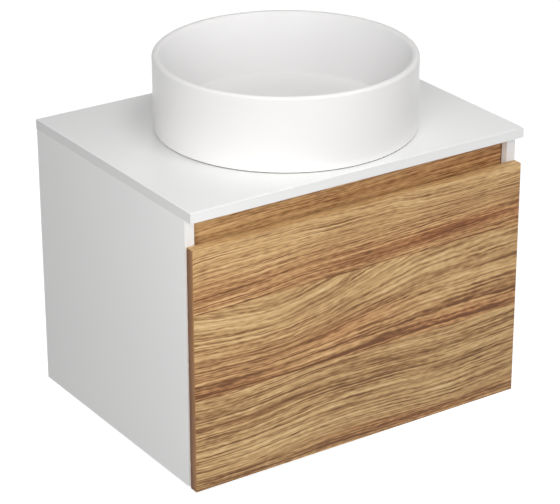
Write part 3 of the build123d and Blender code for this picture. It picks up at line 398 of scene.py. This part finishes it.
# How far up the lines run in each stave: place along, rise in millimetres.
TOP_EDGE_RISE = (
    (0, 0), (40, 3.8), (90, 4.5), (190, 5), (235, 3.2), (330, 3.5), (380, -0.7), (420, -3.2), (455, -4),
    (510, -2.6), (595, 1),
)
FIRST_RISE = ((0, 0), (100, 3), (200, 9.5), (300, 13), (400, 17), (500, 21.5), (595, 24))
RAIL_RISE = ((0, 0), (160, 5), (300, 7), (450, 12), (595, 16))
TOP_EDGE_FADE = (20, 56)
# The same as shares of a height, for the cathedral of the second stave and the hill of the lower two.
CATHEDRAL = (
    (0, 0.21), (50, 0.10), (90, 0.03), (125, 0), (160, 0.04), (200, 0.17), (240, 0.30), (280, 0.46),
    (320, 0.59), (360, 0.69), (400, 0.79), (440, 0.83), (500, 0.855), (595, 0.88),
)
HILL = (
    (0, 0.2), (40, 0.03), (77, 0), (115, 0.17), (153, 0.45), (190, 0.75), (230, 0.95), (267, 1),
    (300, 0.95), (340, 0.82), (380, 0.66), (420, 0.46), (450, 0.4), (476, 0.4), (514, 0.52),
    (552, 0.68), (595, 0.88),
)
CATHEDRAL_TOP, CATHEDRAL_FOOT = 70, 8
THIRD_HILL, FOURTH_HILL = 13, 4

# Waves that bend the lines: reach along, height, detail, how far they bend.
FRONT_WAVES = ((130, 26, 2, 1.3), (34, 8, 2, 0.7), (13, 6, 0, 0.2))
RAIL_WAVES = ((160, 30, 2, 1.2),)
# Soft light and dark lines: reach along, width, detail, strength.
SOFT_LINES = (
    (420, 15, 1.0, 0.05), (300, 6.5, 1.0, 0.04), (260, 4.1, 0.0, 0.08), (170, 2.6, 0.0, 0.28),
    (12, 2.6, 0.0, 0.13),
)
# Thin dark lines: reach along, width, noise where they start and where they are full, strength.
DARK_LINES = ((190, 2.4, 0.25, 1.15, 0.46), (36, 2.3, 0.4, 1.1, 0.34))
# Patterns that follow the lines: reach along, width.
RING_SHIFT = (520, 15)
RING_FADE = (210, 9)
FIBRES = (26, 1.1)
PATCHES = (110, 16)
# How far the rings' late wood and the fibres darken the lines, and what keeps their middle at nought.
LATE_WOOD = 0.20
FIBRE_LINES = 0.02
LINES_MIDDLE = 0.04
# How strongly the lines show in the darkest wood, what a paler tone adds to that and what a patch adds.
DARK_WOOD_LINES, PALE_WOOD_LINES, PATCHY_LINES = 1.7, -1.3, 0.3
# Tones of the five colours, from the darkest to the lightest.
TONE_PLACES = (0.0, 0.25, 0.5, 0.72, 1.0)
RED_STRENGTH = 0.6

# Single marks: middle along, line that they follow, half length, half width, and how much darker they
# are, or lighter below nought.
WOOD_STREAKS = (
    (120, 10, 90, 3.0, 0.1), (250, 20, 110, 1.6, 0.16), (440, 33, 95, 1.8, 0.24),
    (540, 35, 70, 1.6, 0.2), (500, 52, 120, 1.6, 0.24), (40, 41, 70, 1.3, 0.12),
    (195, 46, 45, 1.8, 0.16), (470, 71, 100, 1.4, 0.16), (130, 62.5, 190, 1.3, 0.26),
    (120, 65.5, 190, 1.5, -0.22), (40, 72, 90, 1.2, 0.2), (60, 78, 110, 1.4, 0.26),
    (150, 95, 190, 1.5, 0.16), (290, 104, 110, 1.6, 0.2), (30, 105, 70, 1.4, 0.24),
    (440, 96, 240, 11, 0.2), (450, 99.5, 190, 2.0, 0.34), (560, 95, 60, 3.0, 0.22),
    (540, 82, 80, 1.8, 0.2), (520, 121, 110, 1.8, 0.24), (60, 141, 100, 2.4, -0.16),
    (205, 147, 85, 1.6, 0.26), (200, 156, 110, 1.8, 0.3), (281, 143, 7, 2.2, 0.34),
    (60, 188, 60, 1.2, 0.24), (160, 180.5, 26, 1.5, 0.36), (160, 177, 26, 1.3, -0.22),
    (288, 182.5, 46, 2.0, 0.48), (130, 201.5, 100, 1.5, 0.26), (260, 215.5, 90, 1.8, 0.14),
    (240, 224, 80, 2.0, 0.14), (25, 236, 80, 4.5, 0.34), (350, 171, 65, 1.6, 0.2),
    (340, 158, 50, 1.5, 0.18), (510, 184.5, 95, 1.6, 0.2), (480, 190, 120, 2.2, -0.15),
    (500, 196, 120, 1.3, 0.18), (520, 206, 110, 1.3, 0.24), (520, 216.5, 120, 1.2, 0.22),
    (510, 221, 140, 1.5, 0.3), (500, 225, 130, 1.3, 0.24), (470, 242, 150, 6, 0.14),
    (540, 241, 90, 1.4, 0.24), (500, 246, 130, 1.4, 0.26), (130, 276.5, 165, 2.0, 0.38),
    (110, 272, 150, 1.3, -0.15), (110, 306, 150, 1.8, 0.34), (110, 321.5, 130, 1.3, 0.24),
    (110, 318.5, 130, 1.4, -0.2), (150, 337, 100, 1.3, 0.18), (170, 355, 90, 1.3, 0.2),
    (120, 369.5, 10, 1.8, 0.34), (495, 322.5, 70, 1.6, 0.36), (462, 330, 28, 1.8, 0.38),
    (548, 332, 40, 2.6, 0.36), (345, 307, 85, 2.0, 0.28), (500, 283, 15, 1.3, 0.3),
    (402, 285, 15, 1.3, 0.28), (325, 270.5, 50, 1.3, 0.26), (420, 262, 60, 1.4, 0.18),
    (420, 383, 260, 7, 0.16), (250, 387, 110, 2.5, 0.22),
)
WOOD_PATCHES = (
    (75, 136, 140, 34, -0.17), (330, 160, 150, 26, -0.07), (470, 206, 170, 24, -0.11),
    (240, 213, 160, 16, -0.13), (540, 252, 150, 11, -0.11), (180, 290, 230, 10, 0.14),
    (360, 350, 170, 20, -0.15), (140, 348, 210, 32, -0.09), (510, 48, 160, 26, 0.11),
    (120, 30, 160, 32, -0.05), (600, 78, 70, 34, 0.14), (60, 92, 90, 14, -0.16),
    (540, 167, 80, 10, -0.12), (110, 178, 150, 20, -0.09), (430, 217, 90, 16, -0.18),
    (340, 222, 80, 12, -0.12), (595, 228, 60, 14, 0.13), (400, 257, 70, 12, -0.12),
    (100, 338, 200, 22, -0.08), (460, 352, 80, 14, -0.14), (480, 386, 110, 8, -0.12),
    (440, 176, 80, 10, -0.1), (590, 184, 40, 9, 0.12), (215, 35, 70, 22, -0.1),
    (595, 30, 60, 24, 0.09), (210, 231, 160, 10, -0.15), (185, 188, 75, 14, -0.13),
    (600, 60, 70, 56, 0.1), (250, 388, 90, 8, 0.13),
)
# Marks on the rail, laid out as the marks above; the wide dark band at line 53 is painted shade along the
# rail's foot, above the drawer front.
RAIL_STREAKS_AND_SHADE = (
    (90, 23, 150, 1.5, 0.32), (100, 33, 140, 1.5, 0.26), (110, 42.5, 170, 1.7, 0.3),
    (430, 39, 140, 1.8, 0.28), (470, 50, 150, 1.8, 0.26), (330, 53, 350, 4.5, 0.34),
    (300, 28, 120, 1.5, -0.16), (60, 28, 90, 1.6, -0.16),
)
# Redder bands, laid out as the marks are, with how much redder.
WOOD_RED_BANDS = (
    (460, 97, 260, 17, 0.75), (40, 234, 130, 11, 0.35), (480, 238, 200, 14, 0.45),
    (400, 384, 320, 12, 0.8), (270, 205, 150, 22, 0.5), (90, 292, 140, 12, 0.3),
)

# On the front's side edges the tone falls towards the back as painted shade, and the lines run up and down.
EDGE_SHADE_DEPTHS, EDGE_SHADE_TONES = (1.0, 13.0), (0.42, 0.02)
EDGE_LINES = (90, 3.2)
EDGE_LINE_STRENGTH = 0.10
EDGE_RED = 0.2
# The rail's tone and redness from end to end; the redness starts to grow at a place along it.
RAIL_TONES = (0.74, 0.52)
RAIL_REDS = (0.3, 0.7)
RAIL_RED_START = 100
# The painted shade line where the rail meets the worktop and the side panels: where it starts and is full.
RAIL_SHADE_LINE = (2.6, 0.8)
RAIL_SHADE_DARKER = 0.6


def long_noise(wood, along, across, reach, width, seed, detail):
    """Noise with features that are reach millimetres long and width millimetres high."""
    return wood.noise(wood.join(wood.times(along, 1 / reach), wood.times(across, 1 / width), seed), detail)


def bent(wood, along, below, rise, seed, waves):
    """The height of the lines that pass here: risen along the stave and bent by waves."""
    bends = [wood.times(long_noise(wood, along, below, reach, height, seed, detail), far)
             for reach, height, detail, far in waves]
    return wood.plus(below, rise, *bends)


def wood_lines(wood, along, across, seed, look):
    """Light and dark lines about nought, the fibres and the late wood, all along constant across."""
    # Late wood darkens the last part of each ring, and comes and goes along it.
    shift = long_noise(wood, along, across, *RING_SHIFT, seed, 1.0)
    ring = wood.math("FRACT", wood.math("MULTIPLY_ADD", across, 1 / RING_PITCH, shift))
    late = wood.times(wood.span(ring, 0.5, 0.9, smooth=True), wood.span(ring, 1.0, 0.92))
    late = wood.times(late, wood.span(long_noise(wood, along, across, *RING_FADE, seed, 1.0), -0.4, 0.8))
    fibre = long_noise(wood, along, across, *FIBRES, seed, 0.0)
    lines = [LINES_MIDDLE, wood.times(fibre, FIBRE_LINES), wood.times(late, -LATE_WOOD)]
    for reach, width, detail, strength in SOFT_LINES:
        lines.append(wood.times(long_noise(wood, along, across, reach, width, seed, detail), strength))
    for reach, width, start, full, strength in DARK_LINES:
        noise = long_noise(wood, along, across, reach, width, seed, 0.0)
        lines.append(wood.times(wood.span(noise, start, full), -strength))
    return wood.times(wood.plus(*lines), look.contrast), fibre, late


def marked(wood, value, along, across, marks, sign):
    """A value with long thin marks added to it or, with a sign of -1, taken off."""
    for middle, line, half_length, half_width, strength in marks:
        place = wood.join(
            wood.times(wood.minus(along, middle), 1 / half_length),
            wood.times(wood.minus(across, line), 1 / half_width),
        )
        mark = wood.span(wood.vector("LENGTH", place), 1.0, 0.0, smooth=True)
        value = wood.math("MULTIPLY_ADD", mark, sign * strength, value)
    return value


def down_the_front(wood, below, stops):
    """A number that follows (height, value) stops down the drawer front."""
    return wood.ramp(wood.times(below, 1 / PANEL_HEIGHT),
                     [(height / PANEL_HEIGHT, (value,) * 3) for height, value in stops])


def front_rise(wood, along, below, past):
    """How far the lines have risen here, stave by stave; past is 1 beyond each stave's lower edge."""
    first = wood.curve(along, FIRST_RISE, 0, 24)
    near_top = wood.span(below, *TOP_EDGE_FADE, 1, 0, smooth=True)
    first = wood.fade(near_top, first, wood.curve(along, TOP_EDGE_RISE, -4, 5))
    cathedral = wood.span(below, *STAVE_EDGES[:2], CATHEDRAL_TOP, CATHEDRAL_FOOT)
    second = wood.times(wood.curve(along, CATHEDRAL), cathedral)
    hill = wood.curve(along, HILL)
    rise = first
    for beyond, lower in zip(past, (second, wood.times(hill, THIRD_HILL), wood.times(hill, FOURTH_HILL))):
        rise = wood.fade(beyond, rise, lower)
    return rise


def front_grain(wood, along, below, side, look):
    """Tone, redness, fibres and late wood of the staves on the drawer front."""
    past = [wood.math("GREATER_THAN", below, edge) for edge in STAVE_EDGES]
    seed = wood.times(wood.plus(*past), STAVE_SEED)
    across = bent(wood, along, below, front_rise(wood, along, below, past), seed, FRONT_WAVES)
    lines, fibre, late = wood_lines(wood, along, across, seed, look)
    tone = down_the_front(wood, below, WOOD_TONES)
    patch = long_noise(wood, along, across, *PATCHES, seed, 2)
    strength = wood.plus(
        DARK_WOOD_LINES,
        wood.times(tone, PALE_WOOD_LINES),
        wood.times(patch, PATCHY_LINES),
    )
    tone = wood.plus(tone, wood.times(lines, strength))
    tone = marked(wood, tone, along, across, WOOD_STREAKS + WOOD_PATCHES, -1)
    red = marked(wood, down_the_front(wood, below, WOOD_REDS), along, across, WOOD_RED_BANDS, 1)
    depth = wood.minus(wood.y, FRONT_LOW.y / MM)
    upright = wood.times(long_noise(wood, wood.z, depth, *EDGE_LINES, EDGE_SEED, 1), EDGE_LINE_STRENGTH)
    # Painted shade: the side edges darken from the front face towards the back.
    edge_lines_and_shade = wood.plus(upright, wood.span(depth, *EDGE_SHADE_DEPTHS, *EDGE_SHADE_TONES))
    return wood.fade(side, tone, edge_lines_and_shade), wood.fade(side, red, EDGE_RED), fibre, late


def rail_grain(wood, along, below, look):
    """Tone, redness, fibres and late wood of the finger rail, with painted shade where it meets the worktop
    and the side panels.
    """
    rise = wood.curve(along, RAIL_RISE, 0, 20)
    across = bent(wood, along, below, rise, RAIL_WAVE_SEED, RAIL_WAVES)
    lines, fibre, late = wood_lines(wood, along, across, RAIL_SEED, look)
    tone = wood.plus(wood.span(along, 0, PANEL_LENGTH, *RAIL_TONES), lines)
    tone = marked(wood, tone, along, across, RAIL_STREAKS_AND_SHADE, -1)
    ends = wood.minus(RAIL_HIGH.x / MM, wood.math("ABSOLUTE", wood.x))
    to_joint = wood.math("MINIMUM", wood.minus(RAIL_HIGH.z / MM, wood.z), ends)
    # Painted shade: the rail darkens near its top and its ends, where it meets the worktop and the side
    # panels.
    tone = wood.math("MULTIPLY_ADD", wood.span(to_joint, *RAIL_SHADE_LINE), -RAIL_SHADE_DARKER, tone)
    return tone, wood.span(along, RAIL_RED_START, PANEL_LENGTH, *RAIL_REDS), fibre, late


def wood_finish(name, look, rail=False):
    """The wood decor: staves with a cathedral in the second one, or straight lines on the rail."""
    wood = Finish(name)
    side = wood.facing("x")
    face = (RAIL_LOW if rail else FRONT_LOW).y / MM
    along = wood.minus(wood.x, FRONT_LOW.x / MM)
    depth = wood.times(wood.minus(wood.y, face), wood.minus(1.0, side))
    below = wood.minus(wood.minus(FRONT_HIGH.z / MM, wood.z), depth)
    if rail:
        tone, red, fibre, late = rail_grain(wood, along, below, look)
    else:
        tone, red, fibre, late = front_grain(wood, along, below, side, look)
    shades = (look.darkest, look.dark, look.middle, look.light, look.lightest)
    colour = wood.ramp(tone, list(zip(TONE_PLACES, shades)))
    colour = wood.mix(wood.times(red, RED_STRENGTH), colour, WOOD_RED, "MULTIPLY")
    # The side edges take the edge tint, partly their own colour and partly painted shade.
    colour = wood.mix(side, colour, wood.mix(1.0, colour, look.edge, "MULTIPLY"))
    rough = wood.math("MULTIPLY_ADD", fibre, 0.05, look.roughness)
    height = wood.plus(wood.times(fibre, 0.3), wood.times(late, -0.6))
    wood.set(Base_Color=colour, Roughness=rough, Normal=wood.bump(height, 0.18, 0.08), IOR=1.48)
    return wood.material


class VanityWoodFronts(bpy.types.Operator):
    """Dresses the drawer front and the finger rail in the wood decor"""

    bl_idname = "vanity.wood_fronts"
    bl_label = "Wood fronts"

    def execute(self, context):
        look = context.scene.vanity_wood
        dress(wood_finish("wood_front", look), "drawer_front")
        dress(wood_finish("wood_rail", look, rail=True), "finger_rail")
        return {"FINISHED"}


# ---------------------------------------------------------------- whites


class VanityWorktop(bpy.types.Operator):
    """Lacquers the worktop"""

    bl_idname = "vanity.worktop"
    bl_label = "Worktop"

    def execute(self, context):
        look = context.scene.vanity_white
        top = Finish("worktop_lacquer")
        orange_peel = top.cloud(2.4)
        cloud = top.cloud(160)
        colour = top.mix(top.span(cloud, -1, 1, 0, 0.25), look.lacquer, SHADED_WHITE)
        # Painted shade: the worktop's side edge faces are greyed.
        colour = top.mix(top.facing("x"), colour, WORKTOP_SIDE_SHADE)
        # Painted highlight: the worktop's rounded edges are set pure white.
        colour = top.mix(top.arris(), colour, PAINTED_LIGHT_WHITE)
        top.set(Base_Color=colour, Roughness=top.math("MULTIPLY_ADD", cloud, 0.02, 0.34), IOR=1.5,
                Coat_Weight=0.25, Coat_Roughness=0.22, Normal=top.bump(orange_peel, 0.05, 0.05))
        dress(top.material, "worktop")
        return {"FINISHED"}


def board_finish(look, name="white_board", raw_back=False):
    """White melamine with a fine pebbled face, and raw particle board at the back edges if asked for."""
    board = Finish(name)
    pebble = board.cells(board.scaled(0.55, 0.55, 0.55))
    cloud = board.cloud(120)
    colour = board.mix(board.span(cloud, -1, 1, 0, 0.3), look.board, SHADED_WHITE)
    # Painted light: board faces that look front or back, such as the front edge strips, are set pure white.
    colour = board.mix(board.facing("y"), colour, PAINTED_LIGHT_WHITE)
    if raw_back:
        chips = board.parts(board.cells(board.scaled(2.2, 1.0, 3.0), out="Color"))[0]
        core = board.mix(chips, look.core, [part * 0.6 for part in look.core])
        back = board.math("GREATER_THAN", board.parts(board.normal)[1], 0.9)
        colour = board.mix(back, colour, core)
    board.set(Base_Color=colour, Roughness=board.math("MULTIPLY_ADD", pebble, 0.08, 0.42), IOR=1.5,
              Normal=board.bump(pebble, 0.12, 0.03))
    return board.material


class VanityCarcass(bpy.types.Operator):
    """Faces the cabinet's boards in white melamine"""

    bl_idname = "vanity.carcass"
    bl_label = "Carcass boards"

    def execute(self, context):
        look = context.scene.vanity_white
        dress(board_finish(look), "hanging_rail", "lower_back_rail")
        dress(board_finish(look, "edged_board", raw_back=True),
              "side_panel_left", "side_panel_right", "bottom_panel")
        return {"FINISHED"}


class VanityDrawerBox(bpy.types.Operator):
    """Faces the drawer box in white melamine"""

    bl_idname = "vanity.drawer_box"
    bl_label = "Drawer box"

    def execute(self, context):
        dress(board_finish(context.scene.vanity_white, "drawer_board"),
              "drawer_side_left", "drawer_side_right", "drawer_back_left", "drawer_back_right",
              "drawer_bottom", "drawer_inner_front",
              "recess_wall_left", "recess_wall_right", "recess_wall_front")
        return {"FINISHED"}


class VanityBasin(bpy.types.Operator):
    """Glazes the basin"""

    bl_idname = "vanity.basin"
    bl_label = "Basin"

    def execute(self, context):
        look = context.scene.vanity_white
        glaze = Finish("basin_ceramic")
        wave = glaze.cloud(70, 1)
        orange_peel = glaze.cloud(3.5)
        colour = glaze.mix(glaze.span(glaze.cloud(90), -1, 1, 0, 0.2), look.ceramic, GLAZE_CLOUD)
        from_middle = glaze.join(glaze.minus(glaze.x, BASIN_MIDDLE.x / MM),
                                 glaze.minus(glaze.y, BASIN_MIDDLE.y / MM))
        shaded_inside = glaze.span(glaze.vector("LENGTH", from_middle),
                            BASIN_INNER_RADIUS + RIM_BLEND, BASIN_INNER_RADIUS - RIM_BLEND)
        upright = glaze.minus(1.0, glaze.facing("z"))
        # Painted shade: the upright inner wall of the bowl is greyed.
        colour = glaze.mix(glaze.times(shaded_inside, upright), colour, look.inner_wall_shade)
        height = glaze.plus(wave, glaze.times(orange_peel, 0.02))
        glaze.set(Base_Color=colour, Roughness=glaze.math("MULTIPLY_ADD", orange_peel, 0.01, 0.3), IOR=1.3,
                  Specular_IOR_Level=0.35, Normal=glaze.bump(height, 0.25, 0.25))
        dress(glaze.material, "basin")
        return {"FINISHED"}


# ---------------------------------------------------------------- metal, plastic and rubber


def metal_finish(name, colour, roughness, grain=0.0, patch=0.0):
    """A metal, with grain drawn front to back and plating patches where they are asked for."""
    metal = Finish(name)
    drawn = metal.specks(0.6, 6.0, 0.6, 2)
    flake = metal.cells(metal.scaled(5, 5, 5), out="Color")
    spangle = metal.span(metal.parts(flake)[0], 0, 1, 1 - patch, 1)
    tone = metal.mix(spangle, [part * 0.8 for part in colour], colour)
    cloud = metal.times(metal.cloud(9, 3), roughness * 0.15)
    rough = metal.plus(roughness, cloud, metal.times(drawn, grain * 0.08))
    metal.set(Base_Color=tone, Metallic=1.0, Roughness=rough,
              Normal=metal.bump(metal.times(drawn, max(grain, 0.05)), 0.15, 0.05))
    return metal.material


def rubber_finish(name, colour, roughness, clear=0.0):
    """Moulded rubber or silicone with a faint skin."""
    rubber = Finish(name)
    skin = rubber.cloud(0.8)
    bloom = [min(1, part * 1.25 + 0.004) for part in colour]
    tone = rubber.mix(rubber.span(rubber.cloud(14), -1, 1, 0, 0.5), colour, bloom)
    rubber.set(Base_Color=tone, Roughness=rubber.math("MULTIPLY_ADD", skin, 0.04, roughness),
               Transmission_Weight=clear, IOR=1.42, Normal=rubber.bump(skin, 0.2, 0.04))
    return rubber.material


def plastic_finish(name, colour):
    """White moulded plastic with a fine spark-eroded skin."""
    plastic = Finish(name)
    skin = plastic.cloud(0.5)
    flow = plastic.specks(28, 28, 9, 2)
    tone = plastic.mix(plastic.span(flow, -1, 1, 0, 0.4), colour, [part * 0.94 for part in colour])
    plastic.set(Base_Color=tone, Roughness=plastic.math("MULTIPLY_ADD", skin, 0.05, 0.38), IOR=1.49,
                Subsurface_Weight=0.05, Normal=plastic.bump(skin, 0.15, 0.03))
    return plastic.material


class VanityWaste(bpy.types.Operator):
    """Plates the waste and the plug, and finishes the fittings that clamp them"""

    bl_idname = "vanity.waste"
    bl_label = "Waste and plug"

    def execute(self, context):
        look = context.scene.vanity_metal
        dress(metal_finish("chrome", look.chrome, 0.06), "waste_body", "plug")
        dress(metal_finish("brass", look.brass, 0.24, grain=0.6), "waste_backnut", "plug_cartridge")
        dress(metal_finish("spring_steel", look.zinc, 0.2, grain=0.3), "plug_spring")
        dress(plastic_finish("waste_plastic", context.scene.vanity_white.plastic), "waste_washer")
        return {"FINISHED"}


class VanityTrap(bpy.types.Operator):
    """Finishes the moulded trap"""

    bl_idname = "vanity.trap"
    bl_label = "Trap"

    def execute(self, context):
        dress(plastic_finish("white_plastic", context.scene.vanity_white.plastic),
              "trap_body", "trap_cup", "trap_inlet_tube", "trap_outlet_tube", "trap_union_nut", "trap_nuts")
        return {"FINISHED"}


class VanityRunners(bpy.types.Operator):
    """Finishes the ball-bearing runners"""

    bl_idname = "vanity.runners"
    bl_label = "Runners"

    def execute(self, context):
        look = context.scene.vanity_metal
        strip = metal_finish("zinc_strip", look.zinc, 0.3, grain=1.0, patch=0.35)
        cage = metal_finish("cage_steel", look.grease, 0.3, grain=0.6, patch=0.2)
        for side in ("left", "right"):
            dress(strip, f"runner_cabinet_{side}", f"runner_middle_{side}", f"runner_drawer_{side}")
            dress(cage, f"outer_ball_cage_{side}", f"inner_ball_cage_{side}")
        return {"FINISHED"}


class VanityFittings(bpy.types.Operator):
    """Finishes the screws, cams, dowels and brackets"""

    bl_idname = "vanity.fittings"
    bl_label = "Fittings"

    def execute(self, context):
        look = context.scene.vanity_metal
        dress(metal_finish("zinc_steel", look.zinc, 0.28, grain=0.4, patch=0.3),
              "cabinet_screws", "drawer_screws", "cam_bolts", "cam_housings", "worktop_brackets")
        beech = Finish("beech")
        grain = beech.specks(9, 0.5, 0.5, 3)
        beech.set(Base_Color=beech.mix(beech.span(grain, -1, 1), look.beech, BEECH_GRAIN), Roughness=0.6,
                  Normal=beech.bump(grain, 0.4, 0.1))
        dress(beech.material, "panel_dowels")
        return {"FINISHED"}


class VanityHangingGear(bpy.types.Operator):
    """Finishes the hangers, their hooks and the wall plates"""

    bl_idname = "vanity.hanging_gear"
    bl_label = "Hanging gear"

    def execute(self, context):
        dress(plastic_finish("hanger_plastic", context.scene.vanity_white.plastic),
              "hanger_left", "hanger_right")
        dress(metal_finish("hook_steel", context.scene.vanity_metal.zinc, 0.3, grain=0.5, patch=0.3),
              "hanger_hook_left", "hanger_hook_right", "wall_plate_left", "wall_plate_right")
        return {"FINISHED"}


class VanitySeals(bpy.types.Operator):
    """Finishes the seals, the bead under the basin and the front's bumpers"""

    bl_idname = "vanity.seals"
    bl_label = "Seals and bumpers"

    def execute(self, context):
        look = context.scene.vanity_metal
        dress(rubber_finish("rubber", look.rubber, 0.62),
              "plug_seal", "waste_seat_seal", "trap_union_seal", "trap_cone_seals", "trap_cup_seal")
        # The silicone bead is dark grey as painted shade at the basin's foot.
        dress(rubber_finish("silicone", look.silicone, 0.35), "basin_seal")
        dress(rubber_finish("clear_rubber", BUMPER_CLEAR, 0.2, clear=0.8), "front_bumpers")
        return {"FINISHED"}


# ---------------------------------------------------------------- stage


# Sizes and places on the stage are metres, but the glow's reach and the film's width are millimetres.
LAMP_PLACES = {"key": (-1.1, -1.3, 0.9), "fill": (0.7, -1.5, 0.9), "top": (0.0, -0.9, 2.0)}
LAMP_AIM = (0.0, -0.25, 0.25)
LAMP_SIZE = 0.7
WHITE_LIGHT = (1, 1, 1, 1)
FLOOR_HALF = 6.0
GLOW_REACH = (300, 900)
FILM_WIDTH = 36.0
VIEW_END = 50.0


def bright_backdrop(kit, bright, dim):
    """Shows the bright shader to the camera, gloss and glass, while the dim one lights the object."""
    rays = kit.add("ShaderNodeLightPath").outputs
    seen = rays["Is Camera Ray"]
    for name in ("Is Glossy Ray", "Is Transmission Ray"):
        seen = kit.math("MAXIMUM", seen, rays[name])
    return kit.shader_of("ShaderNodeMixShader", seen, dim, bright)


class VanityStage(bpy.types.Operator):
    """Sets up the pale floor, the soft light and the camera"""

    bl_idname = "vanity.stage"
    bl_label = "Stage"

    def execute(self, context):
        look = context.scene.vanity_stage
        scene = context.scene
        scene.view_settings.view_transform = "Standard"
        self.world(scene, look)
        self.floor(scene, look)
        for name, place in LAMP_PLACES.items():
            self.lamp(scene, name, place, getattr(look, name + "_power"))
        self.camera(scene, look)
        return {"FINISHED"}

    def world(self, scene, look):
        """Even light from all round, on a white backdrop."""
        world = bpy.data.worlds.new("Studio")
        scene.world = world
        world.use_nodes = True
        sky = Nodes(world.node_tree)
        right, _, up = sky.parts(sky.add("ShaderNodeTexCoord").outputs["Generated"])
        left = sky.times(right, -1.0)
        strength = look.ambient
        for part, extra in ((left, look.ambient_left), (right, look.ambient_right), (up, look.ambient_top)):
            ahead = sky.math("MAXIMUM", part, 0.0)
            strength = sky.math("MULTIPLY_ADD", sky.times(ahead, ahead), extra, strength)
        dim = sky.tree.nodes["Background"]
        sky.put(dim.inputs["Color"], WHITE_LIGHT)
        sky.put(dim.inputs["Strength"], strength)
        bright = sky.shader_of("ShaderNodeBackground", WHITE_LIGHT, 1.0)
        out = bright_backdrop(sky, bright, dim.outputs[0])
        sky.put(sky.tree.nodes["World Output"].inputs["Surface"], out)

    def floor(self, scene, look):
        """A wide pale floor, well under the wall-hung cabinet."""
        paint = Finish("studio_floor")
        paint.set(Base_Color=paint.mix(paint.span(paint.cloud(40), -1, 1), *FLOOR_SPECKS), Roughness=0.8)
        reach = paint.vector("LENGTH", paint.join(paint.x, paint.y))
        strength = paint.span(reach, *GLOW_REACH, look.floor_glow, look.outer_glow, smooth=True)
        glow = paint.shader_of("ShaderNodeEmission", WHITE_LIGHT, strength)
        dull = paint.shader.outputs[0]
        bright = paint.shader_of("ShaderNodeAddShader", glow, dull)
        out = bright_backdrop(paint, bright, dull)
        paint.put(paint.tree.nodes["Material Output"].inputs["Surface"], out)
        mesh = bpy.data.meshes.new("studio_floor")
        corners = [(x * FLOOR_HALF, y * FLOOR_HALF, -look.floor_drop)
                   for x, y in ((-1, -1), (1, -1), (1, 1), (-1, 1))]
        mesh.from_pydata(corners, [], [(0, 1, 2, 3)])
        mesh.materials.append(paint.material)
        floor = bpy.data.objects.new("studio_floor", mesh)
        scene.collection.objects.link(floor)

    def lamp(self, scene, name, place, watts):
        """A soft square light, aimed at the middle of the cabinet."""
        data = bpy.data.lights.new(name, "AREA")
        data.shape = "SQUARE"
        data.size = LAMP_SIZE
        data.energy = watts
        lamp = bpy.data.objects.new(name, data)
        lamp.location = place
        lamp.rotation_euler = (Vector(LAMP_AIM) - lamp.location).to_track_quat("-Z", "Y").to_euler()
        lamp.visible_camera = False
        lamp.visible_glossy = False
        scene.collection.objects.link(lamp)

    def camera(self, scene, look):
        """The camera, aimed and rolled."""
        data = bpy.data.cameras.new("camera")
        data.sensor_fit = "HORIZONTAL"
        data.sensor_width = FILM_WIDTH
        data.lens = look.lens
        data.clip_end = VIEW_END
        camera = bpy.data.objects.new("camera", data)
        level = cos(look.elevation)
        back = Vector((-sin(look.azimuth) * level, -cos(look.azimuth) * level, sin(look.elevation)))
        turn = (-back).to_track_quat("-Z", "Y").to_matrix().to_4x4()
        spin = Matrix.Rotation(look.roll, 4, "Z")
        camera.matrix_world = Matrix.Translation(Vector(look.aim) + back * look.distance) @ turn @ spin
        scene.collection.objects.link(camera)
        scene.camera = camera


# ---------------------------------------------------------------- panel and running


OPERATORS = (
    VanityStage,
    VanityWoodFronts,
    VanityWorktop,
    VanityCarcass,
    VanityDrawerBox,
    VanityBasin,
    VanityWaste,
    VanityTrap,
    VanityRunners,
    VanityFittings,
    VanityHangingGear,
    VanitySeals,
)


class VanityPanel(bpy.types.Panel):
    """Lists the vanity's settings and the steps that dress it"""

    bl_idname = "VANITY_PT_steps"
    bl_label = "Vanity"
    bl_space_type = "VIEW_3D"
    bl_region_type = "UI"
    bl_category = "Vanity"

    def draw(self, context):
        """Draws each group of settings in a box, and the steps under them."""
        for name in SETTINGS:
            group = getattr(context.scene, name)
            box = self.layout.box()
            for key in group.__annotations__:
                box.prop(group, key)
        for operator in OPERATORS:
            self.layout.operator(operator.bl_idname)


def register():
    """Adds the settings, the operators and the panel."""
    for name, group in SETTINGS.items():
        bpy.utils.register_class(group)
        setattr(bpy.types.Scene, name, PointerProperty(type=group))
    for item in OPERATORS + (VanityPanel,):
        bpy.utils.register_class(item)


def unregister():
    """Takes the settings, the operators and the panel away."""
    for item in reversed(OPERATORS + (VanityPanel,)):
        bpy.utils.unregister_class(item)
    for name, group in SETTINGS.items():
        delattr(bpy.types.Scene, name)
        bpy.utils.unregister_class(group)


def main():
    """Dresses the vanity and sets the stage."""
    register()
    for operator in OPERATORS:
        group, step = operator.bl_idname.split(".")
        getattr(getattr(bpy.ops, group), step)()


if __name__ == "__main__":
    main()
